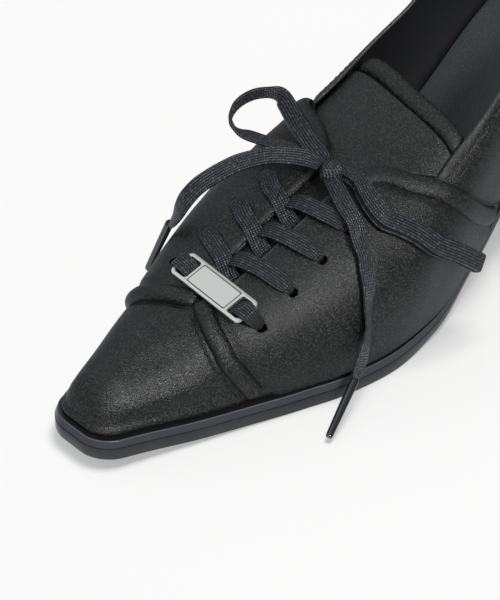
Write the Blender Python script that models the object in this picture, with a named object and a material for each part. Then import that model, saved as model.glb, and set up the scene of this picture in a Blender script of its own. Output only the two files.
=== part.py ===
"""A lace-up pump with a pointed toe and a block heel.

Sizes are in millimetres, and MM turns them into metres. Stations run from the toe tip (0) to the back of the
heel. The toe points along -X, side -1 lies at -Y and side +1 at +Y, and the shoe stands on z = 0.
On the upper's face a place is given by a (along the sole's rim, tip to heel) and q (0 at the sole, 1 at the
crest), so every panel, binding and lace is cut from the same surface as the upper.
"""
import math

import bmesh
import bpy
import numpy as np

MM = 0.001

# The last
LENGTH = 245.0
TIP_CORNER = 7.6
TIP_SPAN = 0.03
HEEL_ROUND = 29.0
CREST_LEAD, CREST_LEAD_REACH = 15.0, 17.0
CREST_LAG, CREST_LAG_REACH = 36.0, 40.0
STATION, NEAR, FAR, BOTTOM, THICK, CREST, FULL, BULGE, WELT, AXIS = range(10)
# station, half width at -Y, half width at +Y, height of the sole's underside, thickness of the sole,
# crest above the sole, fullness of the section, swell of the side, flange beyond the upper, lacing line's Y
LAST = np.array((
    (0, 11.7, 11.7, 3.8, 6.8, 11.0, 2.1, 0.0, 3.4, 0.0),
    (15, 16.9, 16.5, 2.7, 6.8, 16.2, 2.2, 0.3, 3.3, -1.0),
    (31, 22.7, 22.3, 1.2, 6.8, 21.6, 2.4, 0.6, 3.2, -2.4),
    (46, 27.8, 27.2, 0.4, 6.8, 25.8, 2.6, 0.8, 3.2, -3.6),
    (63, 33.8, 32.4, 0.0, 6.8, 31.0, 2.9, 1.0, 3.1, -4.6),
    (80, 39.1, 36.2, 0.0, 6.8, 37.2, 3.1, 1.2, 2.9, -5.0),
    (97, 41.2, 37.8, 0.0, 6.8, 42.9, 3.2, 1.4, 2.7, -4.8),
    (117, 38.8, 36.4, 1.5, 5.2, 48.1, 3.6, 1.9, 2.1, -3.2),
    (143, 31.8, 30.0, 10.4, 3.2, 51.4, 4.6, 3.0, 1.2, -1.4),
    (170, 26.8, 24.6, 28.6, 3.2, 59.6, 2.8, 3.8, 0.8, -0.6),
    (205, 25.4, 24.4, 51.4, 4.0, 78.0, 3.0, 3.4, 0.6, 0.0),
    (245, 25.0, 25.0, 64.0, 4.4, 78.0, 3.0, 3.0, 0.6, 0.0),
))
SIDE_STEPS = 36
GAP = 0.3

# The sole's side: inward share of the flange and share of the thickness, from the underside up
SOLE_SIDE = ((0.18, 0.0), (0.0, 0.09), (0.0, 0.58), (0.05, 0.61), (0.25, 0.94), (0.36, 1.0))
SOLE_CROSS = 6

# The heel: station of its breast, taper of its plan from the floor up, thickness of its top piece
HEEL_BREAST = 194.0
HEEL_INSET = 0.5
HEEL_FOOT_CENTRE = 221.0
HEEL_FOOT_SHARE = 0.62
HEEL_FLARE = 1.8
HEEL_LEVELS = 7
HEEL_CROSS = 4
HEEL_TIP = 5.0

# The upper and what lies inside it
WALL = 1.3
UPPER_ROWS = 12
INSOLE_THICK = 2.0
INSOLE_CLEAR = 0.5
INSOLE_CROSS = 4
# Station and q of the edge of the lacing slit and of the facing's back corner
SLIT_EDGE = np.array(((48, 1.0), (53, 0.935), (60, 0.908), (80, 0.904), (98, 0.900), (106, 0.890),
                      (112, 0.850), (118, 0.755), (123, 0.630), (127, 0.556)))
# Station and height of the collar's edge behind the facings
COLLAR = np.array(((126, 52.4), (133, 55.6), (145, 61.4), (156, 67.6), (177, 79.2), (195, 89.2),
                   (213, 99.0), (228, 106.4), (238, 109.8), (246, 111.0)))

# The tongue: its stations, and how far (in q) it tucks under the facings and, behind them, the quarters
TONGUE_FRONT, TONGUE_WING, TONGUE_TOP = 50.0, 118.0, 138.0
TONGUE_SLANT = 8.0
TONGUE_TUCK, TONGUE_WING_TUCK = 0.16, 0.064
TONGUE_LOWEST = 0.3
TONGUE_SINK = WALL + 1.15
TONGUE_THICK = 1.6
TONGUE_COLUMNS, TONGUE_ROWS = 13, 7
# The rolled strip along the tongue's top edge
ROLL_STATION = 141.6
ROLL_HALF, ROLL_THICK = 3.1, 1.7

# The facings and the rolled bindings along their edges
FACING_THICK = 1.0
FACING_COLUMNS = 13
FACING_LIFT = 0.4
FACING_LOW, FACING_MIDDLE = 0.012, 80.0
FRONT_EDGE = np.array(((0.0, 51.0), (0.12, 48.2), (0.24, 45.8), (0.45, 42.8), (0.63, 43.2),
                       (0.80, 45.2), (0.92, 47.2), (1.0, 48.5)))
BACK_EDGE = np.array(((0.0, 156.5), (0.106, 149.3), (0.25, 140.5), (0.387, 132.5), (0.533, 124.2),
                      (0.638, 118.8), (0.749, 115.4), (0.83, 111.1), (0.90, 105.0)))
FRONT_CLEAR, BACK_CLEAR = 3.5, 5.3
BINDING_HALF, BINDING_HIGH, BINDING_LIFT = 2.8, 2.3, 0.35
BINDING_STEPS = 15
FRONT_SPAN, BACK_SPAN = (0.06, 0.95), (0.07, 0.895)

# Four pairs of eyelets
EYELETS = (55.5, 68.4, 81.2, 93.4)
EYELET_OFF = 19.0
EYELET_RADIUS = 1.7
EYELET_CUT = (-4.0, 0.0, 5.0)

# The flat lace and the metal keeper on its first bar
LACE_HALF, LACE_THICK = 3.0, 1.4
LACE_LIFT = FACING_LIFT + FACING_THICK + 0.45 + LACE_THICK / 2
# side, station past the eyelet, q, drop: the two strands that cross the slit at an eyelet pair
CROSS_OVER = ((-1, -0.3, 0.66, 0), (-1, -0.7, 0.74, 0), (-1, -1.2, 0.82, 0), (-1, -1.8, 0.90, 0),
              (-1, -2.4, 0.97, 0), (1, -3.0, 0.97, 0), (1, -3.0, 0.92, 0))
CROSS_UNDER = ((1, -1.2, 0.72, 0), (1, -2.3, 0.78, 0), (1, -3.4, 0.84, 0), (1, -4.4, 0.89, 0),
               (1, -5.5, 0.93, 0), (1, -6.4, 0.975, 0.6))
BAR = ((-1, 0.62), (-1, 0.72), (-1, 0.82), (-1, 0.92), (-1, 1.0), (1, 0.92), (1, 0.82), (1, 0.72), (1, 0.62))
TAG_HALF_LONG, TAG_HALF_WIDE, TAG_THICK = 15.8, 4.8, 1.1
TAG_WINDOW_IN, TAG_BAR = 7.8, 1.6

# The bow. Its knot, and its two lying strands as side, station, q and lift on the upper
KNOT, KNOT_HALF = np.array((101.6, -7.0, 56.2)), np.array((4.6, 4.4, 3.5))
LOOP_NEAR_HALF, LOOP_NEAR_THICK = 3.4, 4.0
LOOP_NEAR = ((-1, 104.6, 0.935, 5.4), (-1, 105.3, 0.874, 5.4), (-1, 105.9, 0.80, 4.8),
             (-1, 104.1, 0.724, 4.4), (-1, 102.9, 0.658, 4.2), (-1, 102.9, 0.60, 4.2),
             (-1, 105.3, 0.554, 4.2), (-1, 109.0, 0.487, 4.4), (-1, 113.3, 0.408, 5.2),
             (-1, 119.4, 0.341, 6.6), (-1, 126.2, 0.25, 9.0))
END_NEAR = ((-1, 101.4, 0.94, 5.2), (-1, 100.5, 0.878, 5.2), (-1, 96.8, 0.749, 5.0), (-1, 95.0, 0.67, 4.7),
            (-1, 92.6, 0.612, 4.3), (-1, 91.4, 0.55, 3.3), (-1, 89.7, 0.504, 3.0), (-1, 87.9, 0.441, 3.0),
            (-1, 86.1, 0.375, 3.0), (-1, 84.9, 0.287, 3.0), (-1, 83.2, 0.196, 3.6), (-1, 80.8, 0.121, 5.0),
            (-1, 78.0, 0.075, 7.0))
# Its two free strands as station, Y and height; the loop's lace stands on edge round LOOP_FAR_MIDDLE
LOOP_FAR_MIDDLE = np.array((104.5, 16.0, 59.8))
LOOP_FAR = ((102.0, -5.2, 57.2), (102.8, -3.2, 58.0), (105.4, 5.4, 59.2), (108.2, 12.2, 60.2),
            (112.3, 19.8, 61.4), (114.5, 26.1, 62.0), (113.5, 32.2, 62.0), (109.2, 34.5, 61.4),
            (103.1, 33.6, 60.4), (97.7, 31.1, 59.4), (94.0, 26.8, 58.6), (94.8, 21.8, 58.2),
            (97.0, 16.1, 57.8), (99.0, 10.7, 57.4), (99.8, 5.0, 57.0), (100.0, 0.0, 56.6),
            (100.4, -4.4, 56.2))
END_FAR_OUT = (-0.45, -0.45, 0.77)
END_FAR = ((99.6, -6.6, 58.2), (98.1, -6.1, 59.4), (97.0, -0.3, 60.2), (94.4, 4.0, 60.6), (90.2, 8.4, 60.2),
           (85.4, 12.1, 59.2), (80.5, 15.9, 57.4), (76.0, 19.1, 54.6), (71.9, 21.7, 50.8), (69.2, 24.3, 45.6),
           (68.2, 26.9, 40.2), (68.2, 29.7, 34.5))
KNOT_TAPER = (0.5, 0.55, 0.85)
AGLET_TAPER = (0.85, 0.5)
AGLET_RADIUS = 1.4
AGLET_NEAR = ((76.5, -43.05, 10.5), (58.9, -49.3, 2.0))
AGLET_FAR = ((68.1, 29.9, 34.0), (64.3, 36.9, 13.0))

# The part's origin lies on the floor under the middle of the shoe
ORIGIN = np.array((122.9, -2.0, 0.0))


def curve(rows, value):
    """Cubic through (x, y) rows; each row's slope is the harmonic mean of its two chords."""
    xs, ys = rows[:, 0], rows[:, 1]
    x = np.clip(value, xs[0], xs[-1])
    step = np.diff(xs)
    chord = np.diff(ys) / step
    slope = np.concatenate(([chord[0]], np.zeros(len(xs) - 2), [chord[-1]]))
    same = chord[:-1] * chord[1:] > 0
    slope[1:-1][same] = 2 / (1 / chord[:-1][same] + 1 / chord[1:][same])
    i = np.clip(np.searchsorted(xs, x, side="right") - 1, 0, len(step) - 1)
    t = (x - xs[i]) / step[i]
    rise = (ys[i + 1] - ys[i]) * t * t * (3 - 2 * t)
    lean = step[i] * t * (1 - t) * (slope[i] * (1 - t) - slope[i + 1] * t)
    return ys[i] + rise + lean


def last(column, station):
    return curve(LAST[:, (STATION, column)], np.asarray(station, float))


def sole_top(station):
    return last(BOTTOM, station) + last(THICK, station)


def crest(station):
    return sole_top(station) + last(CREST, station)


def station_of(a):
    """Station of a place on the rim; even angles crowd the columns at the two round ends."""
    return LENGTH * (1 - np.cos(np.pi * np.clip(a, 0, 1))) / 2


def place_of(station):
    return np.arccos(1 - 2 * np.asarray(station, float) / LENGTH) / np.pi


def rim(side, a):
    """Plan outline of the sole; a < 0 runs along the squared tip to its middle."""
    station = station_of(a)
    half = last(NEAR if side < 0 else FAR, station)
    tip = np.clip(1 - station / TIP_CORNER, 0, 1)
    heel = np.clip((station - LENGTH + HEEL_ROUND) / HEEL_ROUND, 0, 1)
    half = (half - TIP_CORNER * (1 - np.sqrt(1 - tip ** 2))) * np.sqrt(1 - heel ** 2)
    return np.stack((station, side * half * (1 + np.minimum(a, 0) / TIP_SPAN)), -1)


def plan(side, a, inset):
    """The outline moved inwards by inset, square to itself."""
    a = np.asarray(a, float)
    small = 1e-4
    along = rim(side, np.minimum(a + small, 1)) - rim(side, np.maximum(a - small, -TIP_SPAN))
    along /= np.linalg.norm(along, axis=-1, keepdims=True)
    inward = np.stack((-along[..., 1], along[..., 0]), -1) * -side
    return rim(side, a) + inward * np.asarray(inset)[..., None]


def face(side, a, q):
    """Outer face of the upper: a section |u|^n + |v|^n = 1 from the sole's rim to the crest."""
    a, q = np.broadcast_arrays(np.asarray(a, float), np.asarray(q, float))
    station = station_of(a)
    foot = plan(side, a, last(WELT, station))
    lead = CREST_LEAD * np.exp(-station / CREST_LEAD_REACH)
    lag = CREST_LAG * np.exp((station - LENGTH) / CREST_LAG_REACH)
    top_station = station + lead - lag
    top = np.stack((top_station, last(AXIS, top_station)), -1)
    out = foot - top
    angle = np.pi / 2 * q
    full = last(FULL, station)
    reach = (np.abs(np.cos(angle)) ** full + np.abs(np.sin(angle)) ** full) ** (-1 / full)
    swell = 1 + last(BULGE, station) * np.sin(2 * angle) / np.linalg.norm(out, axis=-1)
    xy = top + out * (reach * np.cos(angle) * swell)[..., None]
    floor = sole_top(station) + GAP
    z = floor + (crest(xy[..., 0]) - floor) * reach * np.sin(angle)
    return np.concatenate((xy, z[..., None]), -1)


def normal(side, a, q):
    """Outward normal of the upper's face."""
    small = 1e-3
    q = np.minimum(q, 1 - 4 * small)
    along = face(side, np.minimum(a + small, 1), q) - face(side, np.maximum(a - small, -TIP_SPAN), q)
    up = face(side, a, q + small) - face(side, a, q - small)
    out = np.cross(along, up) * -side
    return out / np.linalg.norm(out, axis=-1, keepdims=True)


def skin(side, a, q, lift):
    """Points lifted off the upper's face; at the crest both sides share one normal."""
    a, q = np.broadcast_arrays(np.asarray(a, float), np.asarray(q, float))
    points = face(side, a, q)
    out = normal(side, a, q)
    rise = (crest(points[..., 0] + 0.5) - crest(points[..., 0] - 0.5))
    ridge = np.stack((-rise, 0 * rise, 1 + 0 * rise), -1)
    ridge /= np.linalg.norm(ridge, axis=-1, keepdims=True)
    out = np.where((q > 0.999)[..., None], ridge, out)
    return points + out * np.asarray(lift)[..., None]


def edge_q(side, a):
    """q of the upper's top edge: the closed crest, the slit, then the collar's height."""
    a = np.asarray(a, float)
    station = station_of(a)
    low, high = np.full(a.shape, 0.2), np.full(a.shape, 0.99)
    for _ in range(30):
        middle = (low + high) / 2
        points = face(side, a, middle)
        above = points[..., 2] > curve(COLLAR, points[..., 0])
        low, high = np.where(above, low, middle), np.where(above, middle, high)
    return np.where(station < SLIT_EDGE[-1, 0], curve(SLIT_EDGE, station), low)


# Bodies from grids of points

def quads(rows, columns, closed):
    """Faces of a grid whose points are numbered row by row."""
    found = []
    for r in range(rows - 1):
        for c in range(columns if closed else columns - 1):
            d = (c + 1) % columns
            found.append((r * columns + c, r * columns + d, (r + 1) * columns + d, (r + 1) * columns + c))
    return found


def finish(name, points, faces, colour, roughness, metallic=0.0):
    """One closed body as an object of the shoe, with its material."""
    mesh = bpy.data.meshes.new(name)
    mesh.from_pydata(((np.asarray(points) - ORIGIN) * MM).tolist(), [], faces)
    body = bmesh.new()
    body.from_mesh(mesh)
    bmesh.ops.remove_doubles(body, verts=body.verts, dist=1e-6)
    bmesh.ops.recalc_face_normals(body, faces=body.faces)
    body.to_mesh(mesh)
    body.free()
    mesh.shade_smooth()
    mesh.set_sharp_from_angle(angle=math.radians(40))
    material = bpy.data.materials.new(name)
    material.use_nodes = True
    shader = material.node_tree.nodes["Principled BSDF"]
    shader.inputs["Base Color"].default_value = (*colour, 1)
    shader.inputs["Roughness"].default_value = roughness
    shader.inputs["Metallic"].default_value = metallic
    mesh.materials.append(material)
    made = bpy.data.objects.new(name, mesh)
    made.parent = shoe
    bpy.context.scene.collection.objects.link(made)
    return made


def guide(made):
    """Marks a body as a tool for shaping others, not a piece of the shoe."""
    made.hide_render = True
    made.display_type = "WIRE"
    return made


def cut(made, tool, operation="DIFFERENCE"):
    change = made.modifiers.new(tool.name, "BOOLEAN")
    change.operation = operation
    change.object = tool


def walled(outer, inner, closed=False, skip_rim=None):
    """Points and faces of a wall between two grids; skip_rim marks columns whose top edge is shut."""
    rows, columns = outer.shape[:2]
    count = rows * columns
    points = np.concatenate((outer.reshape(-1, 3), inner.reshape(-1, 3)))
    faces = quads(rows, columns, closed)
    faces += [tuple(i + count for i in reversed(f)) for f in faces]
    shut = np.zeros(columns, bool) if skip_rim is None else skip_rim
    for c in range(columns if closed else columns - 1):
        d = (c + 1) % columns
        faces.append((d, c, c + count, d + count))
        top = (rows - 1) * columns
        if not (shut[c] and shut[d]):
            faces.append((top + c, top + d, top + d + count, top + c + count))
    if not closed:
        for c, turn in ((0, 1), (columns - 1, -1)):
            for r in range(rows - 1):
                low, high = r * columns + c, (r + 1) * columns + c
                faces.append((low, high, high + count, low + count)[::turn])
    return points, faces


def capped(rings, cross, cap_height):
    """Body of a stack of rings, each (near points, far points); caps run straight from side to side.

    cap_height(level, x) gives the height of the inner points of the lower (0) and upper (1) cap.
    """
    steps = len(rings[0][0])
    points, faces, loops = [], [], []
    for near, far in rings:
        front = [near[0] + (far[0] - near[0]) * k / cross for k in range(1, cross)]
        loop = [*near, *far[-2::-1], *front[::-1]]
        loops.append(range(len(points), len(points) + len(loop)))
        points += loop
    for low, high in zip(loops, loops[1:]):
        for k in range(len(low)):
            n = (k + 1) % len(low)
            faces.append((low[k], low[n], high[n], high[k]))
    for level, loop in ((0, loops[0]), (1, loops[-1])):
        lines = [[loop[0], *reversed(loop[2 * steps - 1:]), loop[2 * steps - 2]]]
        for i in range(1, steps - 1):
            near, far = loop[i], loop[2 * steps - 2 - i]
            line = [near]
            for k in range(1, cross):
                p = points[near] + (points[far] - points[near]) * k / cross
                line.append(len(points))
                points.append(np.array((p[0], p[1], cap_height(level, p[0]))))
            lines.append([*line, far])
        for above, below in zip(lines, lines[1:]):
            for k in range(cross):
                faces.append((above[k], above[k + 1], below[k + 1], below[k]))
        end = loop[steps - 1]
        for k in range(cross):
            faces.append((lines[-1][k], lines[-1][k + 1], end))
    return np.array(points), faces


def tube(path, out, section, widths=1.0):
    """Body swept along a path; section is (across, out) and out is the direction away from the shoe."""
    path, out = np.asarray(path, float), np.asarray(out, float)
    along = np.gradient(path, axis=0)
    along /= np.linalg.norm(along, axis=1, keepdims=True)
    across = np.cross(out, along)
    across /= np.linalg.norm(across, axis=1, keepdims=True)
    up = np.cross(along, across)
    across *= np.broadcast_to(widths, len(path))[:, None]
    section = np.asarray(section, float)
    points = (path[:, None] + across[:, None] * section[None, :, :1] + up[:, None] * section[None, :, 1:])
    rows, columns = points.shape[:2]
    faces = quads(rows, columns, True)
    faces += [tuple(range(columns)), tuple(range((rows - 1) * columns, rows * columns))]
    return points.reshape(-1, 3), faces


def circle(radius, sides):
    return [(radius * math.cos(t), radius * math.sin(t)) for t in np.arange(sides) * math.tau / sides]


def flat_section(half, thick):
    """Section of a flat lace with round edges."""
    return [(half * x, thick / 2 * y) for x, y in
            ((-1, 0), (-0.86, 0.8), (0, 1), (0.86, 0.8), (1, 0), (0.86, -0.8), (0, -1), (-0.86, -0.8))]


BLACK = (0.012, 0.012, 0.013)
LACE = (0.016, 0.018, 0.022)
RUBBER = (0.045, 0.047, 0.052)
STEEL = (0.78, 0.77, 0.74)

for old in list(bpy.data.objects):
    bpy.data.objects.remove(old)
shoe = bpy.data.objects.new("shoe", None)
bpy.context.scene.collection.objects.link(shoe)

tip_places = (-TIP_SPAN, -TIP_SPAN / 2)
places = np.concatenate((tip_places, np.linspace(0, 1, SIDE_STEPS + 1)))
side_places = places[2:]


# Outsole: one moulded unit with a plain band, a bevelled band and the flange round the upper
rings = []
for share, level in SOLE_SIDE:
    ring = []
    for side in (-1, 1):
        station = station_of(side_places)
        xy = plan(side, side_places, share * last(WELT, station))
        z = last(BOTTOM, xy[:, 0]) + level * last(THICK, xy[:, 0])
        ring.append(np.column_stack((xy, z)))
    rings.append(ring)
sole_cap = (lambda level, x: float(last(BOTTOM, x) + level * last(THICK, x)))
finish("outsole", *capped(rings, SOLE_CROSS, sole_cap), RUBBER, 0.45)


# Insole: a thin board on the sole, inside the wall
rings = []
for level in (0, 1):
    ring = []
    for side in (-1, 1):
        xy = plan(side, side_places, last(WELT, station_of(side_places)) + WALL + INSOLE_CLEAR)
        z = sole_top(xy[:, 0]) + GAP + level * INSOLE_THICK
        ring.append(np.column_stack((xy, z)))
    rings.append(ring)
board_cap = (lambda level, x: float(sole_top(x) + GAP + level * INSOLE_THICK))
finish("insole", *capped(rings, INSOLE_CROSS, board_cap), BLACK, 0.5)


# Heel: a block that narrows from the sole's outline to its foot, and the top piece under it
heel_places = side_places[station_of(side_places) > HEEL_BREAST]
seat_centre = (HEEL_BREAST + LENGTH) / 2


def heel_ring(share, level):
    """Plan of the heel at a share of the seat's plan; level runs from the foot (0) to the sole (1)."""
    ring = []
    for side in (-1, 1):
        xy = plan(side, heel_places, np.full(heel_places.shape, HEEL_INSET))
        seat = last(BOTTOM, xy[:, 0]) - GAP
        centre = HEEL_FOOT_CENTRE + (seat_centre - HEEL_FOOT_CENTRE) * level
        x = centre + (xy[:, 0] - seat_centre) * share
        z = HEEL_TIP + GAP + (seat - HEEL_TIP - GAP) * level
        ring.append(np.column_stack((x, xy[:, 1] * share, z)))
    return ring


rings = []
for level in np.linspace(0, 1, HEEL_LEVELS):
    rings.append(heel_ring(HEEL_FOOT_SHARE + (1 - HEEL_FOOT_SHARE) * level ** HEEL_FLARE, level))
heel_cap = (lambda level, x: float(level * (last(BOTTOM, x) - GAP) + (1 - level) * (HEEL_TIP + GAP)))
finish("heel", *capped(rings, HEEL_CROSS, heel_cap), BLACK, 0.35)

foot = [np.column_stack((p[:, :2], 0 * p[:, 2])) for p in heel_ring(HEEL_FOOT_SHARE, 0)]
rings = [[p + (0, 0, z) for p in foot] for z in (0.0, HEEL_TIP)]
tip_cap = (lambda level, x: level * HEEL_TIP)
finish("heel_tip", *capped(rings, HEEL_CROSS, tip_cap), RUBBER, 0.6)


# Upper: vamp and quarters as one wall, shut over the toe and open along the slit, collar and underside
columns = [(-1, a) for a in places] + [(1, a) for a in places[-2:0:-1]]
rows = np.linspace(0, 1, UPPER_ROWS + 1)
outer, inner, shut = [], [], []
for side, a in columns:
    top = float(edge_q(side, a))
    outer.append(skin(side, a, rows * top, 0.0))
    inner.append(skin(side, a, rows * top, -WALL))
    shut.append(top > 0.999)
outer, inner = np.swapaxes(outer, 0, 1), np.swapaxes(inner, 0, 1)
upper = finish("upper", *walled(outer, inner, True, np.array(shut)), BLACK, 0.5)


# Tongue: one panel under the slit, tucked under the facings, with a rolled strip along its top
def tongue_row(station, lift):
    """Points across the tongue, from one tucked edge over the crest to the other; its top slants back at +Y."""
    tuck = TONGUE_TUCK if station < TONGUE_WING else TONGUE_WING_TUCK
    slant = TONGUE_SLANT * min((station - TONGUE_FRONT) / (TONGUE_TOP - TONGUE_FRONT), 1) ** 3
    halves = []
    for side in (-1, 1):
        edge_station = station + side * slant / 2
        low = max(float(edge_q(side, place_of(edge_station))) - tuck, TONGUE_LOWEST)
        across = place_of(np.linspace(edge_station, station + slant / 4, TONGUE_ROWS))
        halves.append(skin(side, across, np.linspace(low, 1, TONGUE_ROWS), lift))
    return np.concatenate((halves[0], halves[1][-2::-1]))


stations = np.linspace(TONGUE_FRONT, TONGUE_TOP, TONGUE_COLUMNS)
outer = np.array([tongue_row(s, -TONGUE_SINK) for s in stations])
inner = np.array([tongue_row(s, -TONGUE_SINK - TONGUE_THICK) for s in stations])
finish("tongue", *walled(outer, inner), BLACK, 0.5)

path = tongue_row(ROLL_STATION, -TONGUE_SINK - ROLL_THICK)
out = tongue_row(ROLL_STATION, 0.0) - tongue_row(ROLL_STATION, -1.0)
section = [(ROLL_HALF * x, ROLL_THICK * y) for x, y in circle(1.0, 8)]
finish("tongue_binding", *tube(path, out, section), BLACK, 0.45)


# Facings: overlay panels on both sides of the slit, each with four punched eyelet holes
holes = []
for side in (-1, 1):
    for station in EYELETS:
        a = float(place_of(station))
        spread = np.linspace(0.3, 0.95, 200)
        off = np.abs(face(side, a, spread)[:, 1] - last(AXIS, station))
        q = float(np.interp(EYELET_OFF, off[::-1], spread[::-1]))
        out = normal(side, np.array(a), np.array(q))
        middle = face(side, a, q)
        ends = np.array([middle + out * d for d in EYELET_CUT])
        side_way = np.tile(np.cross(out, (1.0, 0.0, 0.0)), (len(EYELET_CUT), 1))
        body = tube(ends, side_way, circle(EYELET_RADIUS, 10))
        holes.append((side, guide(finish(f"eyelet_cutter_{len(holes)}", *body, BLACK, 0.5))))


def punch(made, side):
    """Cuts the eyelet holes of one side, or of both where side is 0."""
    for hole_side, cutter in holes:
        if side in (0, hole_side):
            cut(made, cutter)


punch(upper, 0)
for side, word in ((-1, "near"), (1, "far")):
    outer, inner = [], []
    for row in np.maximum(rows, FACING_LOW):
        q = row * float(edge_q(side, place_of(FACING_MIDDLE)))
        start, end = curve(FRONT_EDGE, q) + FRONT_CLEAR, curve(BACK_EDGE, q) - BACK_CLEAR
        across = place_of(np.linspace(start, end, FACING_COLUMNS))
        outer.append(skin(side, across, q, FACING_LIFT + FACING_THICK))
        inner.append(skin(side, across, q, FACING_LIFT))
    punch(finish(f"facing_{word}", *walled(np.array(outer), np.array(inner)), BLACK, 0.5), side)


# Bindings: rolled strips on the upper along the facings' front and back edges
half = BINDING_HALF
bead = [(-half, BINDING_LIFT), (-0.82 * half, 0.68 * BINDING_HIGH), (-0.42 * half, BINDING_HIGH),
        (0.42 * half, BINDING_HIGH), (0.82 * half, 0.68 * BINDING_HIGH), (half, BINDING_LIFT),
        (0, BINDING_LIFT)]
for side, word in ((-1, "near"), (1, "far")):
    for name, edge, span in (("front", FRONT_EDGE, FRONT_SPAN), ("back", BACK_EDGE, BACK_SPAN)):
        q = np.linspace(*span, BINDING_STEPS)
        a = place_of(curve(edge, q))
        body = tube(face(side, a, q), normal(side, a, q), bead)
        finish(f"binding_{name}_{word}", *body, BLACK, 0.48)


# Laces over the slit: a straight bar at the first pair, then two strands joined at each further pair
def lace_strand(name, route, section, widths=1.0):
    """Flat lace along (side, station, q, lift) points of the upper's face."""
    path, out = [], []
    for side, station, q, lift in route:
        a = float(place_of(station))
        path.append(skin(side, a, q, lift))
        out.append(skin(side, a, q, 1.0) - skin(side, a, q, 0.0))
    return finish(name, *tube(path, out, section, widths), LACE, 0.6)


lace = flat_section(LACE_HALF, LACE_THICK)
for number, station in enumerate(EYELETS[1:], 2):
    over = [(side, station + past, q, LACE_LIFT - drop) for side, past, q, drop in CROSS_OVER]
    under = [(side, station + past, q, LACE_LIFT - drop) for side, past, q, drop in CROSS_UNDER]
    strand = guide(lace_strand(f"lace_strand_{number}", under, lace))
    cut(lace_strand(f"lace_cross_{number}", over, lace), strand, "UNION")

lace_strand("lace_bar", [(side, EYELETS[0], q, LACE_LIFT) for side, q in BAR], lace)


# Keeper on the first bar: a stamped plate with a window at each end for the lace
tag_middle = skin(-1, float(place_of(EYELETS[0])), 1.0, LACE_LIFT + LACE_THICK / 2 + GAP)
tag_out = skin(-1, float(place_of(EYELETS[0])), 1.0, 1.0) - skin(-1, float(place_of(EYELETS[0])), 1.0, 0.0)
tag_across = np.array((0.0, 1.0, 0.0))
tag_along = np.cross(tag_across, tag_out)
long_lines = (-TAG_HALF_LONG, TAG_BAR - TAG_HALF_LONG, -TAG_WINDOW_IN, TAG_WINDOW_IN,
              TAG_HALF_LONG - TAG_BAR, TAG_HALF_LONG)
wide_lines = (-TAG_HALF_WIDE, TAG_BAR - TAG_HALF_WIDE, TAG_HALF_WIDE - TAG_BAR, TAG_HALF_WIDE)
windows = ((1, 1), (3, 1))
points, faces = [], []
for level in (0.0, TAG_THICK):
    for u in long_lines:
        for v in wide_lines:
            points.append(tag_middle + tag_across * u + tag_along * v + tag_out * level)
lines = len(wide_lines)
layer = len(long_lines) * lines
solid = {(i, j) for i in range(len(long_lines) - 1) for j in range(lines - 1)} - set(windows)
for i, j in sorted(solid):
    corners = [i * lines + j, (i + 1) * lines + j, (i + 1) * lines + j + 1, i * lines + j + 1]
    faces += [tuple(corners[::-1]), tuple(c + layer for c in corners)]
    beside = ((i, j - 1), (i + 1, j), (i, j + 1), (i - 1, j))
    for k, other in enumerate(beside):
        if other not in solid:
            a, b = corners[k], corners[(k + 1) % 4]
            faces.append((a, b, b + layer, a + layer))
finish("lace_tag", points, faces, STEEL, 0.3, 1.0)


# Bow: a knot over the slit, a folded loop and an end at each side, and a hard tip on each end
def ball(centre, half):
    body = bmesh.new()
    bmesh.ops.create_icosphere(body, subdivisions=2, radius=1.0)
    points = [np.array(v.co) * half + centre for v in body.verts]
    faces = [tuple(v.index for v in f.verts) for f in body.faces]
    body.free()
    return points, faces


finish("lace_knot", *ball(KNOT, KNOT_HALF), LACE, 0.6)
knot_room = guide(finish("knot_room", *ball(KNOT, KNOT_HALF + GAP), LACE, 0.6))


def gathered(route, end):
    """Share of the lace's width at each point: drawn together at the knot, and towards the given end."""
    widths = np.ones(len(route))
    widths[:len(KNOT_TAPER)] = KNOT_TAPER
    widths[len(route) - len(end):] = end
    return widths


folded = flat_section(LOOP_NEAR_HALF, LOOP_NEAR_THICK)
cut(lace_strand("lace_loop_near", LOOP_NEAR, folded, gathered(LOOP_NEAR, ())), knot_room)
cut(lace_strand("lace_end_near", END_NEAR, lace, gathered(END_NEAR, AGLET_TAPER)), knot_room)

body = tube(LOOP_FAR, np.array(LOOP_FAR) - LOOP_FAR_MIDDLE, lace, gathered(LOOP_FAR, KNOT_TAPER[::-1]))
cut(finish("lace_loop_far", *body, LACE, 0.6), knot_room)
body = tube(END_FAR, np.tile(END_FAR_OUT, (len(END_FAR), 1)), lace, gathered(END_FAR, AGLET_TAPER))
cut(finish("lace_end_far", *body, LACE, 0.6), knot_room)

for name, ends in (("aglet_near", AGLET_NEAR), ("aglet_far", AGLET_FAR)):
    body = tube(ends, np.tile((1.0, 0.0, 1.0), (2, 1)), circle(AGLET_RADIUS, 8))
    finish(name, *body, LACE, 0.2)
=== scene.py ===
"""Looks of a black lace-up pump with a pointed toe, seen from its toe and outer side.

Lengths are in millimetres of the last (station from the toe tip, Y across, height) until a mesh is made.
"""
import math

import bmesh
import bpy
import numpy as np
from mathutils import Matrix, Vector
from mathutils.geometry import tessellate_polygon


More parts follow.
